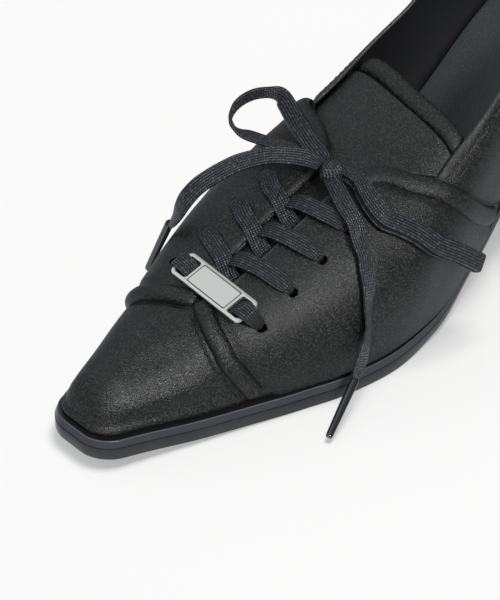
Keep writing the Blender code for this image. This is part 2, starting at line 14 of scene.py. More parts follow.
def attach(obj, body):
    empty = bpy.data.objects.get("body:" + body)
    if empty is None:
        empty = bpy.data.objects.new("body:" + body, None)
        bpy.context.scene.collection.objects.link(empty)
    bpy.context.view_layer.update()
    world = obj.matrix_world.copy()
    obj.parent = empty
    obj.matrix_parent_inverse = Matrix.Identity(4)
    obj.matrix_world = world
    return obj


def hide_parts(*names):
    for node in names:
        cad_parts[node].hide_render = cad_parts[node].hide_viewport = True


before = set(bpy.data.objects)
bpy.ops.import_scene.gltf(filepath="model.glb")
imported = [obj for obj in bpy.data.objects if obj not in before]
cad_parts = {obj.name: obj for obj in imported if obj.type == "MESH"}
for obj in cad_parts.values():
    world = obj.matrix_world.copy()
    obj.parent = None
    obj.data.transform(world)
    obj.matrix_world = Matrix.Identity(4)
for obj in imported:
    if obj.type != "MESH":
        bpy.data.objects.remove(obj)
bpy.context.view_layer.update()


# Outsole: one moulded rubber unit that carries the shoe, with a flange that stands out round the upper.
# Its side shows a plain band below, a fine parting groove, and a bevelled band that ends in a thin lip.
# The last that shapes it is a table of stations, which the upper and all that lies on it share.
MM = 0.001
ORIGIN = np.array((122.9, -2.0, 0.0))
LENGTH = 245.0
TIP_CORNER = 7.6
TIP_SPAN = 0.03
HEEL_ROUND = 29.0
GAP = 0.3
SIDES = ((-1, "near"), (1, "far"))
STATION, NEAR, FAR, BOTTOM, THICK, CREST, FULL, BULGE, WELT, AXIS = range(10)
# station, half width at -Y, half width at +Y, height of the sole's underside, thickness of the sole,
# crest above the sole, fullness of the section, swell of the side, flange beyond the upper, lacing line's Y
LAST = np.array((
    (0, 11.7, 11.7, 3.8, 6.8, 11.0, 2.1, 0.0, 3.4, 0.0),
    (15, 16.9, 16.5, 2.7, 6.8, 16.2, 2.2, 0.3, 3.3, -1.0),
    (31, 22.7, 22.3, 1.2, 6.8, 21.6, 2.4, 0.6, 3.2, -2.4),
    (46, 27.8, 27.2, 0.4, 6.8, 25.8, 2.6, 0.8, 3.2, -3.6),
    (63, 33.8, 32.4, 0.0, 6.8, 31.0, 2.9, 1.0, 3.1, -4.6),
    (80, 39.1, 36.2, 0.0, 6.8, 37.2, 3.1, 1.2, 2.9, -5.0),
    (97, 41.2, 37.8, 0.0, 6.8, 42.9, 3.2, 1.4, 2.7, -4.8),
    (117, 38.8, 36.4, 1.5, 5.2, 48.1, 3.6, 1.9, 2.1, -3.2),
    (143, 31.8, 30.0, 10.4, 3.2, 51.4, 4.6, 3.0, 1.2, -1.4),
    (170, 26.8, 24.6, 28.6, 3.2, 59.6, 2.8, 3.8, 0.8, -0.6),
    (205, 25.4, 24.4, 51.4, 4.0, 78.0, 3.0, 3.4, 0.6, 0.0),
    (245, 25.0, 25.0, 64.0, 4.4, 78.0, 3.0, 3.0, 0.6, 0.0),
))
# inward share of the flange and share of the thickness, from the underside up to the top
SOLE_SIDE = ((0.22, 0.0), (0.08, 0.006), (0.02, 0.03), (0.0, 0.07), (0.0, 0.32), (0.0, 0.605), (0.02, 0.628),
             (0.10, 0.636), (0.10, 0.662), (0.04, 0.675), (0.09, 0.74), (0.16, 0.84), (0.225, 0.93),
             (0.25, 0.965), (0.30, 0.99), (0.38, 1.0), (0.75, 0.995), (1.2, 0.97))
# rows of the bevel (paler partly as painted reflection), the row of the painted highlight, and the rows of
# the top
BEVEL_LINES, LIP_HIGHLIGHT_LINE, TOP_LINES = slice(9, 14), 14, slice(15, 18)
SOLE_CROSS = 12


def curve(rows, value):
    """Cubic through (x, y) rows; each row's slope is the harmonic mean of its two chords."""
    xs, ys = rows[:, 0], rows[:, 1]
    x = np.clip(value, xs[0], xs[-1])
    step = np.diff(xs)
    chord = np.diff(ys) / step
    slope = np.concatenate(([chord[0]], np.zeros(len(xs) - 2), [chord[-1]]))
    same = chord[:-1] * chord[1:] > 0
    slope[1:-1][same] = 2 / (1 / chord[:-1][same] + 1 / chord[1:][same])
    i = np.clip(np.searchsorted(xs, x, side="right") - 1, 0, len(step) - 1)
    t = (x - xs[i]) / step[i]
    rise = (ys[i + 1] - ys[i]) * t * t * (3 - 2 * t)
    lean = step[i] * t * (1 - t) * (slope[i] * (1 - t) - slope[i + 1] * t)
    return ys[i] + rise + lean


def last(column, station):
    return curve(LAST[:, (STATION, column)], np.asarray(station, float))


def sole_top(station):
    return last(BOTTOM, station) + last(THICK, station)


def station_of(a):
    """Station of a place on the rim: half the length times (1 - cos of a half turn times a)."""
    return LENGTH * (1 - np.cos(np.pi * np.clip(a, 0, 1))) / 2


def place_of(station):
    return np.arccos(1 - 2 * np.asarray(station, float) / LENGTH) / np.pi


def rim(side, a):
    """Plan outline of the sole; a < 0 runs along the squared tip to its middle."""
    station = station_of(a)
    half = last(NEAR if side < 0 else FAR, station)
    tip = np.clip(1 - station / TIP_CORNER, 0, 1)
    heel = np.clip((station - LENGTH + HEEL_ROUND) / HEEL_ROUND, 0, 1)
    half = (half - TIP_CORNER * (1 - np.sqrt(1 - tip ** 2))) * np.sqrt(1 - heel ** 2)
    return np.stack((station, side * half * (1 + np.minimum(a, 0) / TIP_SPAN)), -1)


def plan(side, a, inset):
    """The outline moved inwards by inset, square to itself."""
    a = np.asarray(a, float)
    small = 1e-4
    along = rim(side, np.minimum(a + small, 1)) - rim(side, np.maximum(a - small, -TIP_SPAN))
    along /= np.linalg.norm(along, axis=-1, keepdims=True)
    inward = np.stack((-along[..., 1], along[..., 0]), -1) * -side
    return rim(side, a) + inward * np.asarray(inset)[..., None]


def grid_faces(rows, columns, wrap_rows=False, wrap_columns=False):
    """Quads of a grid numbered row by row; a wrapped direction joins its last line to its first."""
    r, c = np.mgrid[:rows - (not wrap_rows), :columns - (not wrap_columns)]
    e, d = (r + 1) % rows, (c + 1) % columns
    return np.stack((r * columns + c, r * columns + d, e * columns + d, e * columns + c), -1).reshape(-1, 4)


def made(name, points, faces, finishes, uv=None, marks=None, face_finish=None, sharp=50):
    """Object at the origin from points in millimetres; doubles are merged and faces turned outwards."""
    mesh = bpy.data.meshes.new(name)
    flat = (np.asarray(points, float).reshape(-1, 3) - ORIGIN) * MM
    mesh.from_pydata(flat.tolist(), [], [list(f) for f in faces])
    for finish in finishes:
        mesh.materials.append(finish)
    if face_finish is not None:
        mesh.polygons.foreach_set("material_index", np.asarray(face_finish, np.int32))
    if uv is not None:
        corner = np.zeros(len(mesh.loops), np.int32)
        mesh.loops.foreach_get("vertex_index", corner)
        layer = mesh.uv_layers.new(name="surface")
        layer.data.foreach_set("uv", np.asarray(uv, np.float32).reshape(-1, 2)[corner].ravel())
    for key, values in (marks or {}).items():
        layer = mesh.attributes.new(key, "FLOAT", "POINT")
        layer.data.foreach_set("value", np.asarray(values, np.float32).ravel())
    body = bmesh.new()
    body.from_mesh(mesh)
    bmesh.ops.remove_doubles(body, verts=body.verts, dist=2e-6)
    bmesh.ops.dissolve_degenerate(body, edges=body.edges, dist=1e-7)
    bmesh.ops.recalc_face_normals(body, faces=body.faces)
    body.to_mesh(mesh)
    body.free()
    mesh.shade_smooth()
    mesh.set_sharp_from_angle(angle=math.radians(sharp))
    new = bpy.data.objects.new(name, mesh)
    bpy.context.scene.collection.objects.link(new)
    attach(new, "root")
    return new


def fill(tree, node, values):
    """Sets a node's inputs; one that is given as a socket is linked."""
    for key, value in values.items():
        if isinstance(value, bpy.types.NodeSocket):
            tree.links.new(value, node.inputs[key])
        else:
            node.inputs[key].default_value = value


def add(tree, kind, values=None, **settings):
    """A shader node with its settings and inputs."""
    node = tree.nodes.new("ShaderNode" + kind)
    for key, value in settings.items():
        setattr(node, key, value)
    fill(tree, node, values or {})
    return node


def reckon(tree, operation, *values):
    """Output of one Math node."""
    return add(tree, "Math", dict(enumerate(values)), operation=operation).outputs[0]


def ranged(tree, value, low, high, to_low=0.0, to_high=1.0, **settings):
    """A value brought from one range into another and kept inside it."""
    inputs = {"Value": value, "From Min": low, "From Max": high, "To Min": to_low, "To Max": to_high}
    return add(tree, "MapRange", inputs, **settings).outputs[0]


def noise(tree, where, scale, detail, rough=0.5):
    inputs = {"Vector": where, "Scale": scale, "Detail": detail, "Roughness": rough}
    return add(tree, "TexNoise", inputs).outputs["Fac"]


def marked(tree, name):
    """Value of a point attribute of the mesh, 0 where it has none."""
    return add(tree, "Attribute", attribute_name=name).outputs["Fac"]


def on_surface(tree):
    """The mesh's own UV layer."""
    return add(tree, "UVMap", uv_map="surface").outputs["UV"]


def bumped(tree, height, strength, distance):
    """Normal bent by a height from 0 to 1, whose full rise is distance in metres."""
    return add(tree, "Bump", {"Height": height, "Strength": strength, "Distance": distance}).outputs[0]


def blended(tree, factor, first, second):
    """Colour that goes from first to second with factor."""
    colours = [c if isinstance(c, bpy.types.NodeSocket) else (*c, 1) for c in (first, second)]
    mix = add(tree, "Mix", {0: factor, 6: colours[0], 7: colours[1]}, data_type="RGBA", clamp_factor=True)
    return mix.outputs[2]


def new_finish(name):
    """An empty Principled finish: the material, its tree and its shader."""
    finish = bpy.data.materials.new(name)
    finish.use_nodes = True
    return finish, finish.node_tree, finish.node_tree.nodes["Principled BSDF"]


def sole_rubber():
    """Satin blue-black rubber: a grainy lower band; a smooth bevel whose paler blue is partly painted
    reflection; a painted highlight along its upper edge; a darker top.
    """
    finish, tree, shader = new_finish("sole_rubber")
    place = add(tree, "TexCoord").outputs["Object"]
    bevel = marked(tree, "bevel")
    cloud = noise(tree, place, 55.0, 3.0)
    fine = noise(tree, place, 1900.0, 2.0)
    speck = reckon(tree, "MULTIPLY", reckon(tree, "MULTIPLY", fine, cloud), 2.4)
    colour = blended(tree, speck, (0.011, 0.011, 0.012), (0.036, 0.036, 0.037))
    # the bevel's paler, bluer colour is partly painted reflection of the bright surround
    colour = blended(tree, bevel, colour, (0.042, 0.045, 0.051))
    colour = blended(tree, marked(tree, "top"), colour, (0.012, 0.012, 0.013))
    # painted highlight: a pale line along the rounded edge at the top of the bevel
    colour = blended(tree, marked(tree, "lip_highlight"), colour, (0.110, 0.114, 0.120))
    grainy = reckon(tree, "MULTIPLY", fine, reckon(tree, "SUBTRACT", 1.0, bevel))
    fill(tree, shader, {"Base Color": colour, "Roughness": reckon(tree, "MULTIPLY_ADD", cloud, 0.16, 0.22),
                        "Normal": bumped(tree, grainy, 0.4, 0.00015), "Specular IOR Level": 0.35})
    return finish


def slab(places, insets, height, cross):
    """Closed slab inside the rim. insets[k] is the inward distance of profile line k at each place and
    height(k, x) its height; each place's loop runs down the near side, across below, up the far side
    and back across above, with straight cross lines.
    """
    near, far = [], []
    for side, lines in ((-1, near), (1, far)):
        for k, inset in enumerate(insets):
            xy = plan(side, places, inset)
            lines.append(np.column_stack((xy, height(k, xy[:, 0]))))
    near, far = np.array(near), np.array(far)
    share = (np.arange(1, cross) / cross)[:, None, None]
    below = near[0] + (far[0] - near[0]) * share
    above = far[-1] + (near[-1] - far[-1]) * share
    return np.concatenate((near[::-1], below, far, above))


rim_places = np.concatenate((np.linspace(-TIP_SPAN, 0, 11)[:-1], np.linspace(0, 1, 281)))
sole_lines = np.array(SOLE_SIDE)
flange = last(WELT, station_of(rim_places))
sole_points = slab(rim_places, sole_lines[:, :1] * flange,
                   lambda k, x: last(BOTTOM, x) + sole_lines[k, 1] * last(THICK, x), SOLE_CROSS)
# marks of the sole's rows: the bevel, the painted highlight along its upper edge, and the top
line_marks = np.zeros((3, len(SOLE_SIDE)))
line_marks[0, BEVEL_LINES] = 1.0
line_marks[1, LIP_HIGHLIGHT_LINE] = 1.0
line_marks[2, TOP_LINES] = 1.0
below_marks = np.zeros((3, SOLE_CROSS - 1))
above_marks = np.tile(((0,), (0,), (1,)), SOLE_CROSS - 1)
loop_marks = np.concatenate((line_marks[:, ::-1], below_marks, line_marks, above_marks), axis=1)
sole_marks = dict(zip(("bevel", "lip_highlight", "top"), np.repeat(loop_marks, len(rim_places), axis=1)))
rubber = sole_rubber()
outsole = made("sole_unit", sole_points, grid_faces(*sole_points.shape[:2], wrap_rows=True), [rubber],
               marks=sole_marks, sharp=35)
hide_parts("outsole")


# Heel: a block covered in smooth leather that narrows towards the floor, with a rubber top piece.
# It lies outside the photograph, so it is finished plainly, as such pumps are.
HEEL_BREAST_PLACE, HEEL_SEAT = 26 / 36, 219.5
HEEL_FOOT_CENTRE, HEEL_FOOT_SHARE, HEEL_FLARE = 221.0, 0.62, 1.8
HEEL_TIP, HEEL_HOLLOW = 5.0, 1.6
# share of the heel's foot and height above the floor, for the rings of the top piece
TIP_PROFILE = ((0.985, 0.0), (1.0, 0.35), (1.0, 4.6), (0.992, 5.0))


def heel_ring(share, level, lift):
    """Plan of the heel at a share of the seat; level runs from the foot (0) to the sole (1)."""
    places = np.linspace(HEEL_BREAST_PLACE, 1, 60)
    sides = []
    for side in (-1, 1):
        xy = plan(side, places, np.full(places.shape, 0.5))
        seat = last(BOTTOM, xy[:, 0]) - GAP
        centre = HEEL_FOOT_CENTRE + (HEEL_SEAT - HEEL_FOOT_CENTRE) * level
        x = centre + (xy[:, 0] - HEEL_SEAT) * share
        z = HEEL_TIP + GAP + (seat - HEEL_TIP - GAP) * level
        sides.append(np.column_stack((x, xy[:, 1] * share, z + lift)))
    near, far = sides
    t = np.linspace(0, 1, 22)[1:-1, None]
    breast = far[0] + (near[0] - far[0]) * t
    breast[:, :1] += HEEL_HOLLOW * share * (1 - (2 * t - 1) ** 6) * math.sin(math.pi * level) ** 0.5
    return np.concatenate((near, far[-2::-1], breast))


def stack(rings):
    """Closed body of equal rings: quads between them and one face on each end."""
    rings = np.array(rings)
    rows, columns = rings.shape[:2]
    faces = grid_faces(rows, columns, wrap_columns=True).tolist()
    faces += [list(range(columns)), list(range((rows - 1) * columns, rows * columns))]
    return rings, faces


def leather(name, dark, light, rough, grain, shine=0.5):
    """Matt black leather: a fine pebbled grain, pale flecks that are partly painted glints, painted shade in
    the creases between pebbles, cloudy dye, and paler where 'wear' is marked.
    """
    finish, tree, shader = new_finish(name)
    place = add(tree, "TexCoord").outputs["Object"]
    cloud = noise(tree, place, 42.0, 4.0)
    fine = noise(tree, place, 1700.0, 2.0, 0.6)
    cells = add(tree, "TexVoronoi", {"Vector": place, "Scale": 1450.0}, feature="DISTANCE_TO_EDGE")
    pebble = ranged(tree, cells.outputs["Distance"], 0.0, 0.32, interpolation_type="SMOOTHSTEP")
    # painted glints: pale flecks in the colour stand partly for the grain's sparkle
    fleck_glint = ranged(tree, fine, 0.47, 0.66)
    height = reckon(tree, "ADD", reckon(tree, "MULTIPLY", fine, 1.1), reckon(tree, "MULTIPLY", pebble, 0.6))
    # painted shade: fewer flecks towards the creases between pebbles, so these are darker
    raised = reckon(tree, "MULTIPLY_ADD", pebble, 0.7, 0.4)
    cloud_and_crease_shade = reckon(tree, "MULTIPLY", reckon(tree, "ADD", cloud, 0.5), raised)
    dye_glints_and_shade = blended(tree, reckon(tree, "MULTIPLY", fleck_glint, cloud_and_crease_shade), dark, light)
    colour = blended(tree, marked(tree, "wear"), dye_glints_and_shade, (0.060, 0.058, 0.055))
    fill(tree, shader, {"Base Color": colour, "Roughness": reckon(tree, "MULTIPLY_ADD", cloud, 0.18, rough),
                        "Normal": bumped(tree, height, grain, 0.00011), "Specular IOR Level": shine})
    return finish


smooth_leather = leather("heel_leather", (0.008, 0.008, 0.009), (0.014, 0.014, 0.015), 0.26, 0.08)
heel_levels = np.linspace(0, 1, 40)
heel_shares = HEEL_FOOT_SHARE + (1 - HEEL_FOOT_SHARE) * heel_levels ** HEEL_FLARE
heel_rings = [heel_ring(share, level, 0.0) for share, level in zip(heel_shares, heel_levels)]
heel = made("heel_block", *stack(heel_rings), [smooth_leather], sharp=45)
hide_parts("heel")
tip_rings = [heel_ring(HEEL_FOOT_SHARE * share, 0.0, z - HEEL_TIP - GAP) for share, z in TIP_PROFILE]
heel_tip = made("heel_top_piece", *stack(tip_rings), [rubber], sharp=45)
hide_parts("heel_tip")


# Insole: a board under a thin smooth sock of black leather, glued down inside the upper.
# Its edge is rounded where it meets the lining.
WALL = 1.3
INSOLE_CLEAR, INSOLE_CROSS = 0.5, 10
# distance in from the wall and height above the sole, from the underside up
INSOLE_EDGE = np.array(((0.0, 0.0), (0.0, 1.2), (0.15, 1.7), (0.6, 1.95), (1.6, 2.0), (6.0, 1.9)))
insole_points = slab(rim_places, (flange + WALL + INSOLE_CLEAR) + INSOLE_EDGE[:, :1],
                     lambda k, x: sole_top(x) + GAP + INSOLE_EDGE[k, 1], INSOLE_CROSS)
# painted sheen: the sock's black leather is given a paler bluish grey, which stands for the sheen on it
sock_leather = leather("sock_leather", (0.042, 0.046, 0.050), (0.084, 0.091, 0.097), 0.34, 0.08)
insole = made("sock", insole_points, grid_faces(*insole_points.shape[:2], wrap_rows=True), [sock_leather])
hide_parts("insole")


# Upper: vamp and quarters of fine-grained black leather, lasted over the foot and lined with smooth leather.
# It is shut over the toe and open along the lacing slit, the collar and the underside.
# The collar is a turned edge with a stitched band a few millimetres deep.
CREST_LEAD, CREST_LEAD_REACH = 15.0, 17.0
CREST_LAG, CREST_LAG_REACH = 36.0, 40.0
SLIT_EDGE = np.array(((48, 1.0), (53, 0.935), (60, 0.908), (80, 0.904), (98, 0.900), (106, 0.890),
                      (112, 0.850), (118, 0.755), (123, 0.630), (127, 0.556)))
COLLAR = np.array(((126, 52.4), (133, 55.6), (145, 61.4), (156, 67.6), (177, 79.2), (195, 89.2),
                   (213, 99.0), (228, 106.4), (238, 109.8), (246, 111.0)))
# q and station of the front and back edges of the facings that lie on the upper;
# it is creased beside the rolled strips there
FRONT_EDGE = np.array(((0.0, 51.0), (0.12, 48.2), (0.24, 45.8), (0.45, 42.8), (0.63, 43.2), (0.80, 45.2),
                       (0.92, 47.2), (1.0, 48.5)))
BACK_EDGE = np.array(((0.0, 156.5), (0.106, 149.3), (0.25, 140.5), (0.387, 132.5), (0.533, 124.2),
                      (0.638, 118.8), (0.749, 115.4), (0.83, 111.1), (0.90, 105.0)))
COLLAR_START, COLLAR_RUN, COLLAR_BAND = 126.0, 6.0, 2.8
BEAD_HIGH, BEAD_REACH, SEAM_DEEP, SEAM_REACH = 0.14, 1.7, 0.22, 0.4
FEATHER_SWELL, FEATHER_Q, FEATHER_FLANGE = 1.1, 0.07, 3.2
CREASE_OFF, CREASE_REACH, CREASE_DEEP = 3.5, 1.1, 0.7
COLLAR_WEAR, WEAR_REACH, TURNED_WEAR = 0.35, 0.7, 0.3
EDGE_STEP = 0.01


def crest(station):
    return sole_top(station) + last(CREST, station)


def face(side, a, q):
    """Outer face of the upper: sections |u|^n + |v|^n = 1 from the rim (q = 0) to the crest (q = 1)."""
    a, q = np.broadcast_arrays(np.asarray(a, float), np.asarray(q, float))
    station = station_of(a)
    foot = plan(side, a, last(WELT, station))
    lead = CREST_LEAD * np.exp(-station / CREST_LEAD_REACH)
    lag = CREST_LAG * np.exp((station - LENGTH) / CREST_LAG_REACH)
    top_station = station + lead - lag
    top = np.stack((top_station, last(AXIS, top_station)), -1)
    out = foot - top
    angle = np.pi / 2 * q
    full = last(FULL, station)
    reach = (np.abs(np.cos(angle)) ** full + np.abs(np.sin(angle)) ** full) ** (-1 / full)
    swell = 1 + last(BULGE, station) * np.sin(2 * angle) / np.linalg.norm(out, axis=-1)
    xy = top + out * (reach * np.cos(angle) * swell)[..., None]
    floor = sole_top(station) + GAP
    z = floor + (crest(xy[..., 0]) - floor) * reach * np.sin(angle)
    return np.concatenate((xy, z[..., None]), -1)


def unit(vectors):
    return vectors / np.linalg.norm(vectors, axis=-1, keepdims=True)


def heading(path):
    """Direction of a path at each of its points."""
    return unit(np.gradient(path, axis=0))


def normal(side, a, q):
    """Outward normal of the upper's face, from small steps along it and up it."""
    small = 1e-3
    q = np.minimum(q, 1 - 4 * small)
    along = face(side, np.minimum(a + small, 1), q) - face(side, np.maximum(a - small, -TIP_SPAN), q)
    up = face(side, a, q + small) - face(side, a, q - small)
    return unit(np.cross(along, up) * -side)


def skin(side, a, q, lift):
    """Points lifted off the upper's face; at the crest both sides share one normal."""
    a, q = np.broadcast_arrays(np.asarray(a, float), np.asarray(q, float))
    points = face(side, a, q)
    rise = crest(points[..., 0] + 0.5) - crest(points[..., 0] - 0.5)
    ridge = unit(np.stack((-rise, 0 * rise, 1 + 0 * rise), -1))
    out = np.where((q > 0.999)[..., None], ridge, normal(side, a, q))
    return points + out * np.asarray(lift)[..., None]


def out_of(side, a, q):
    """Direction out of the upper's face."""
    return skin(side, a, q, 1.0) - skin(side, a, q, 0.0)


def edge_q(side, a):
    """q of the upper's top edge: the closed crest, the slit, then the collar's height."""
    a = np.asarray(a, float)
    station = station_of(a)
    low, high = np.full(a.shape, 0.2), np.full(a.shape, 0.99)
    for _ in range(30):
        middle = (low + high) / 2
        points = face(side, a, middle)
        above = points[..., 2] > curve(COLLAR, points[..., 0])
        low, high = np.where(above, low, middle), np.where(above, middle, high)
    return np.where(station < SLIT_EDGE[-1, 0], curve(SLIT_EDGE, station), low)


def edge_rise(side, a, q):
    """The last small step of q up the upper's face, to an edge."""
    return face(side, a, q) - face(side, a, q - EDGE_STEP)


def hills(station, q, rows):
    """Sum of soft hills and hollows; a row is station, q, reach along, reach in q, height."""
    total = 0
    for centre, level, long, tall, high in rows:
        total = total + high * np.exp(-((station - centre) / long) ** 2 - ((q - level) / tall) ** 2)
    return total


# soft dents that lasting and wear leave: station, q, reach along, reach in q, height
UPPER_DENTS = ((34, 0.86, 8, 0.12, 0.30), (12, 0.45, 7, 0.2, 0.25), (160, 0.30, 16, 0.14, -0.5),
               (190, 0.36, 14, 0.10, 0.4), (150, 0.16, 12, 0.07, 0.35))
# on the near side the toe slopes down to a low shoulder
TOE_SLOPE = ((26, 0.74, 13, 0.19, -1.0), (25, 0.32, 15, 0.12, 1.1))
TOE_SLOPE_START, TOE_SLOPE_RUN = 2.0, 9.0
black_leather = leather("upper_leather", (0.0008, 0.0008, 0.0008), (0.048, 0.048, 0.046), 0.36, 1.0)
lining_leather = leather("lining_leather", (0.007, 0.007, 0.008), (0.014, 0.014, 0.015), 0.40, 0.10)
upper_places = np.concatenate((np.linspace(-TIP_SPAN, 0, 9)[:-1], np.linspace(0, 1, 401)))
outer_rows = np.linspace(0, 1, 60)
rim_turns = np.linspace(0, math.pi, 9)[1:-1]
inner_rows = np.linspace(1, 0, 26)


def upper_side(side):
    """One side's columns: up the outer face, over the turned edge, and down the lining."""
    top = edge_q(side, upper_places)
    station = station_of(upper_places)
    q = outer_rows[:, None] * top
    rise = edge_rise(side, upper_places, top)
    below_edge = (top - q) * (np.linalg.norm(rise, axis=-1) / EDGE_STEP)
    collar = np.clip((station - COLLAR_START) / COLLAR_RUN, 0, 1)
    slope = np.clip((station - TOE_SLOPE_START) / TOE_SLOPE_RUN, 0, 1) ** 2 * (side < 0)
    relief = hills(station, q, UPPER_DENTS) + slope * hills(station, q, TOE_SLOPE)
    bead = BEAD_HIGH * np.exp(-(below_edge / BEAD_REACH) ** 2)
    seam = SEAM_DEEP * np.exp(-((below_edge - COLLAR_BAND) / SEAM_REACH) ** 2)
    relief += collar * (bead - seam)
    relief *= np.clip(below_edge / 0.8, 0.25, 1) * np.clip((1 - q) * 8, 0, 1)
    for edge, way in ((FRONT_EDGE, -1), (BACK_EDGE, 1)):
        off = (station - curve(edge, q)) * way - CREASE_OFF
        relief -= CREASE_DEEP * np.exp(-(off / CREASE_REACH) ** 2) * np.clip((0.985 - q) * 20, 0, 1)
    feather = np.exp(-((q - FEATHER_Q) / FEATHER_Q) ** 2) * last(WELT, station) / FEATHER_FLANGE
    outer = skin(side, upper_places, q, relief + FEATHER_SWELL * feather)
    up = unit(rise)
    turned = [skin(side, upper_places, top, -WALL / 2 * (1 - math.cos(t))) + up * (WALL / 2 * math.sin(t))
              for t in rim_turns]
    inner_q = inner_rows[:, None] * top
    hollow = slope * np.minimum(hills(station, inner_q, TOE_SLOPE), 0)
    inner = skin(side, upper_places, inner_q, hollow - WALL)
    outer_worn = COLLAR_WEAR * np.exp(-below_edge / WEAR_REACH) * collar
    turned_worn = np.tile(TURNED_WEAR * collar, (len(rim_turns), 1))
    worn = np.concatenate((outer_worn, turned_worn, np.zeros(inner.shape[:2])))
    return np.concatenate((outer, turned, inner)), worn, top > 0.999


near_wall, near_worn, shut = upper_side(-1)
far_wall, far_worn, _ = upper_side(1)
upper_points = np.concatenate((near_wall, far_wall[:, -2::-1]), axis=1)
upper_worn = np.concatenate((near_worn, far_worn[:, -2::-1]), axis=1)
shut = np.concatenate((shut, shut[-2::-1]))
rows, columns = upper_points.shape[:2]
upper_faces = grid_faces(rows, columns)
face_row, face_column = np.divmod(np.arange(len(upper_faces)), columns - 1)
over_edge = (face_row >= len(outer_rows) - 1) & (face_row < len(outer_rows) + len(rim_turns))
closed = over_edge & shut[face_column] & shut[face_column + 1]
foot_edge = np.stack((np.arange(columns - 1), np.arange(1, columns)), -1)
foot_rim = np.column_stack((foot_edge[:, ::-1], foot_edge + (rows - 1) * columns))
inside = (face_row >= len(outer_rows) + 3)[~closed]
upper = made("upper_shell", upper_points, np.concatenate((upper_faces[~closed], foot_rim)),
             [black_leather, lining_leather], marks={"wear": upper_worn},
             face_finish=np.concatenate((inside, np.zeros(len(foot_rim), bool))))
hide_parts("upper")


# Tongue: a soft panel of the same leather under the slit, fixed below the first eyelets.
# A rolled strip binds its top edge, puckered where it is turned over.
TONGUE_FRONT, TONGUE_WING, TONGUE_TOP, TONGUE_SLANT = 50.0, 118.0, 138.0, 8.0
TONGUE_TUCK, TONGUE_WING_TUCK, TONGUE_LOWEST = 0.16, 0.064, 0.3
TONGUE_SINK, TONGUE_THICK = WALL + 1.15, 1.6
ROLL_STATION, ROLL_HALF, ROLL_THICK = 141.6, 3.1, 1.7
TONGUE_ACROSS, ROLL_ACROSS = 34, 90


def tongue_half(side, station, count):
    """Places and q across half the tongue, from its tucked edge to the crest; its top slants back at +Y."""
    wing = np.clip((station - TONGUE_WING + 3) / 6, 0, 1)
    tuck = TONGUE_TUCK + (TONGUE_WING_TUCK - TONGUE_TUCK) * wing
    slant = TONGUE_SLANT * min((station - TONGUE_FRONT) / (TONGUE_TOP - TONGUE_FRONT), 1) ** 3
    edge_station = station + side * slant / 2
    low = max(float(edge_q(side, place_of(edge_station))) - tuck, TONGUE_LOWEST)
    return place_of(np.linspace(edge_station, station + slant / 4, count)), np.linspace(low, 1, count)


def tongue_skin(station, count, lift):
    """Points across the tongue; lift(t) is their height, with t from -1 at one edge to 1 at the other."""
    t = np.linspace(-1, 1, 2 * count - 1)
    heights = lift(t)
    near = skin(-1, *tongue_half(-1, station, count), heights[:count])
    far = skin(1, *tongue_half(1, station, count), heights[:count - 2:-1])
    return np.concatenate((near, far[-2::-1]))


def tongue_lift(station, t):
    """Height: crowned along the middle, with two shallow creases where the foot bends it."""
    middle = 1 - t ** 2
    crown = 0.9 * middle ** 1.5
    crease = -0.45 * np.exp(-((station - 112 - 5 * t ** 2) / 2.4) ** 2) * middle
    fold = -0.35 * np.exp(-((station - 125 + 6 * t) / 3.0) ** 2) * middle
    return -TONGUE_SINK + crown + crease + fold


def flat_lift(height):
    """A height that is the same all across the tongue."""
    return lambda t: 0 * t + height


tongue_outer, tongue_inner = [], []
for station in np.linspace(TONGUE_FRONT, TONGUE_TOP, 120):
    tongue_outer.append(tongue_skin(station, TONGUE_ACROSS, lambda t: tongue_lift(station, t)))
    tongue_inner.append(tongue_skin(station, TONGUE_ACROSS, flat_lift(-TONGUE_SINK - TONGUE_THICK)))


def shell(outer, inner):
    """Closed wall between two equal grids: each row runs over the outer face and back under the inner one."""
    loop = np.concatenate((outer, inner[:, ::-1]), axis=1)
    rows, columns = loop.shape[:2]
    faces = grid_faces(rows, columns, wrap_columns=True).tolist()
    half = columns // 2
    for start in (0, (rows - 1) * columns):
        ends = np.arange(half - 1)
        back = start + columns - 1 - ends
        faces += np.stack((start + ends, start + ends + 1, back - 1, back), -1).tolist()
    return loop, faces


tongue = made("tongue_panel", *shell(np.array(tongue_outer), np.array(tongue_inner)), [black_leather])
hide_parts("tongue")


def swept(path, across, section):
    """Closed tube: section[i, j] = (sideways, outwards) offsets of ring i, carried along the path.

    Sideways is the given across direction made square to the path, and outwards is path direction x across.
    """
    along = heading(path)
    across = unit(across - along * np.sum(across * along, axis=1, keepdims=True))
    up = np.cross(along, across)
    points = path[:, None] + across[:, None] * section[..., :1] + up[:, None] * section[..., 1:]
    return stack(points)


def pucker(length, phase):
    """Fine uneven cross wrinkles: three sines of unlike pitch, in millimetres along the strip."""
    waves = np.sin(length * 2.9 + phase) + 0.7 * np.sin(length * 4.7 + 1.3 * phase)
    return (waves + 0.5 * np.sin(length * 1.7)) / 2.2


def path_length(path):
    return np.concatenate(([0.0], np.cumsum(np.linalg.norm(np.diff(path, axis=0), axis=1))))


def full_turn(count):
    """Angles of a closed ring."""
    return np.linspace(0, math.tau, count + 1)[:-1]


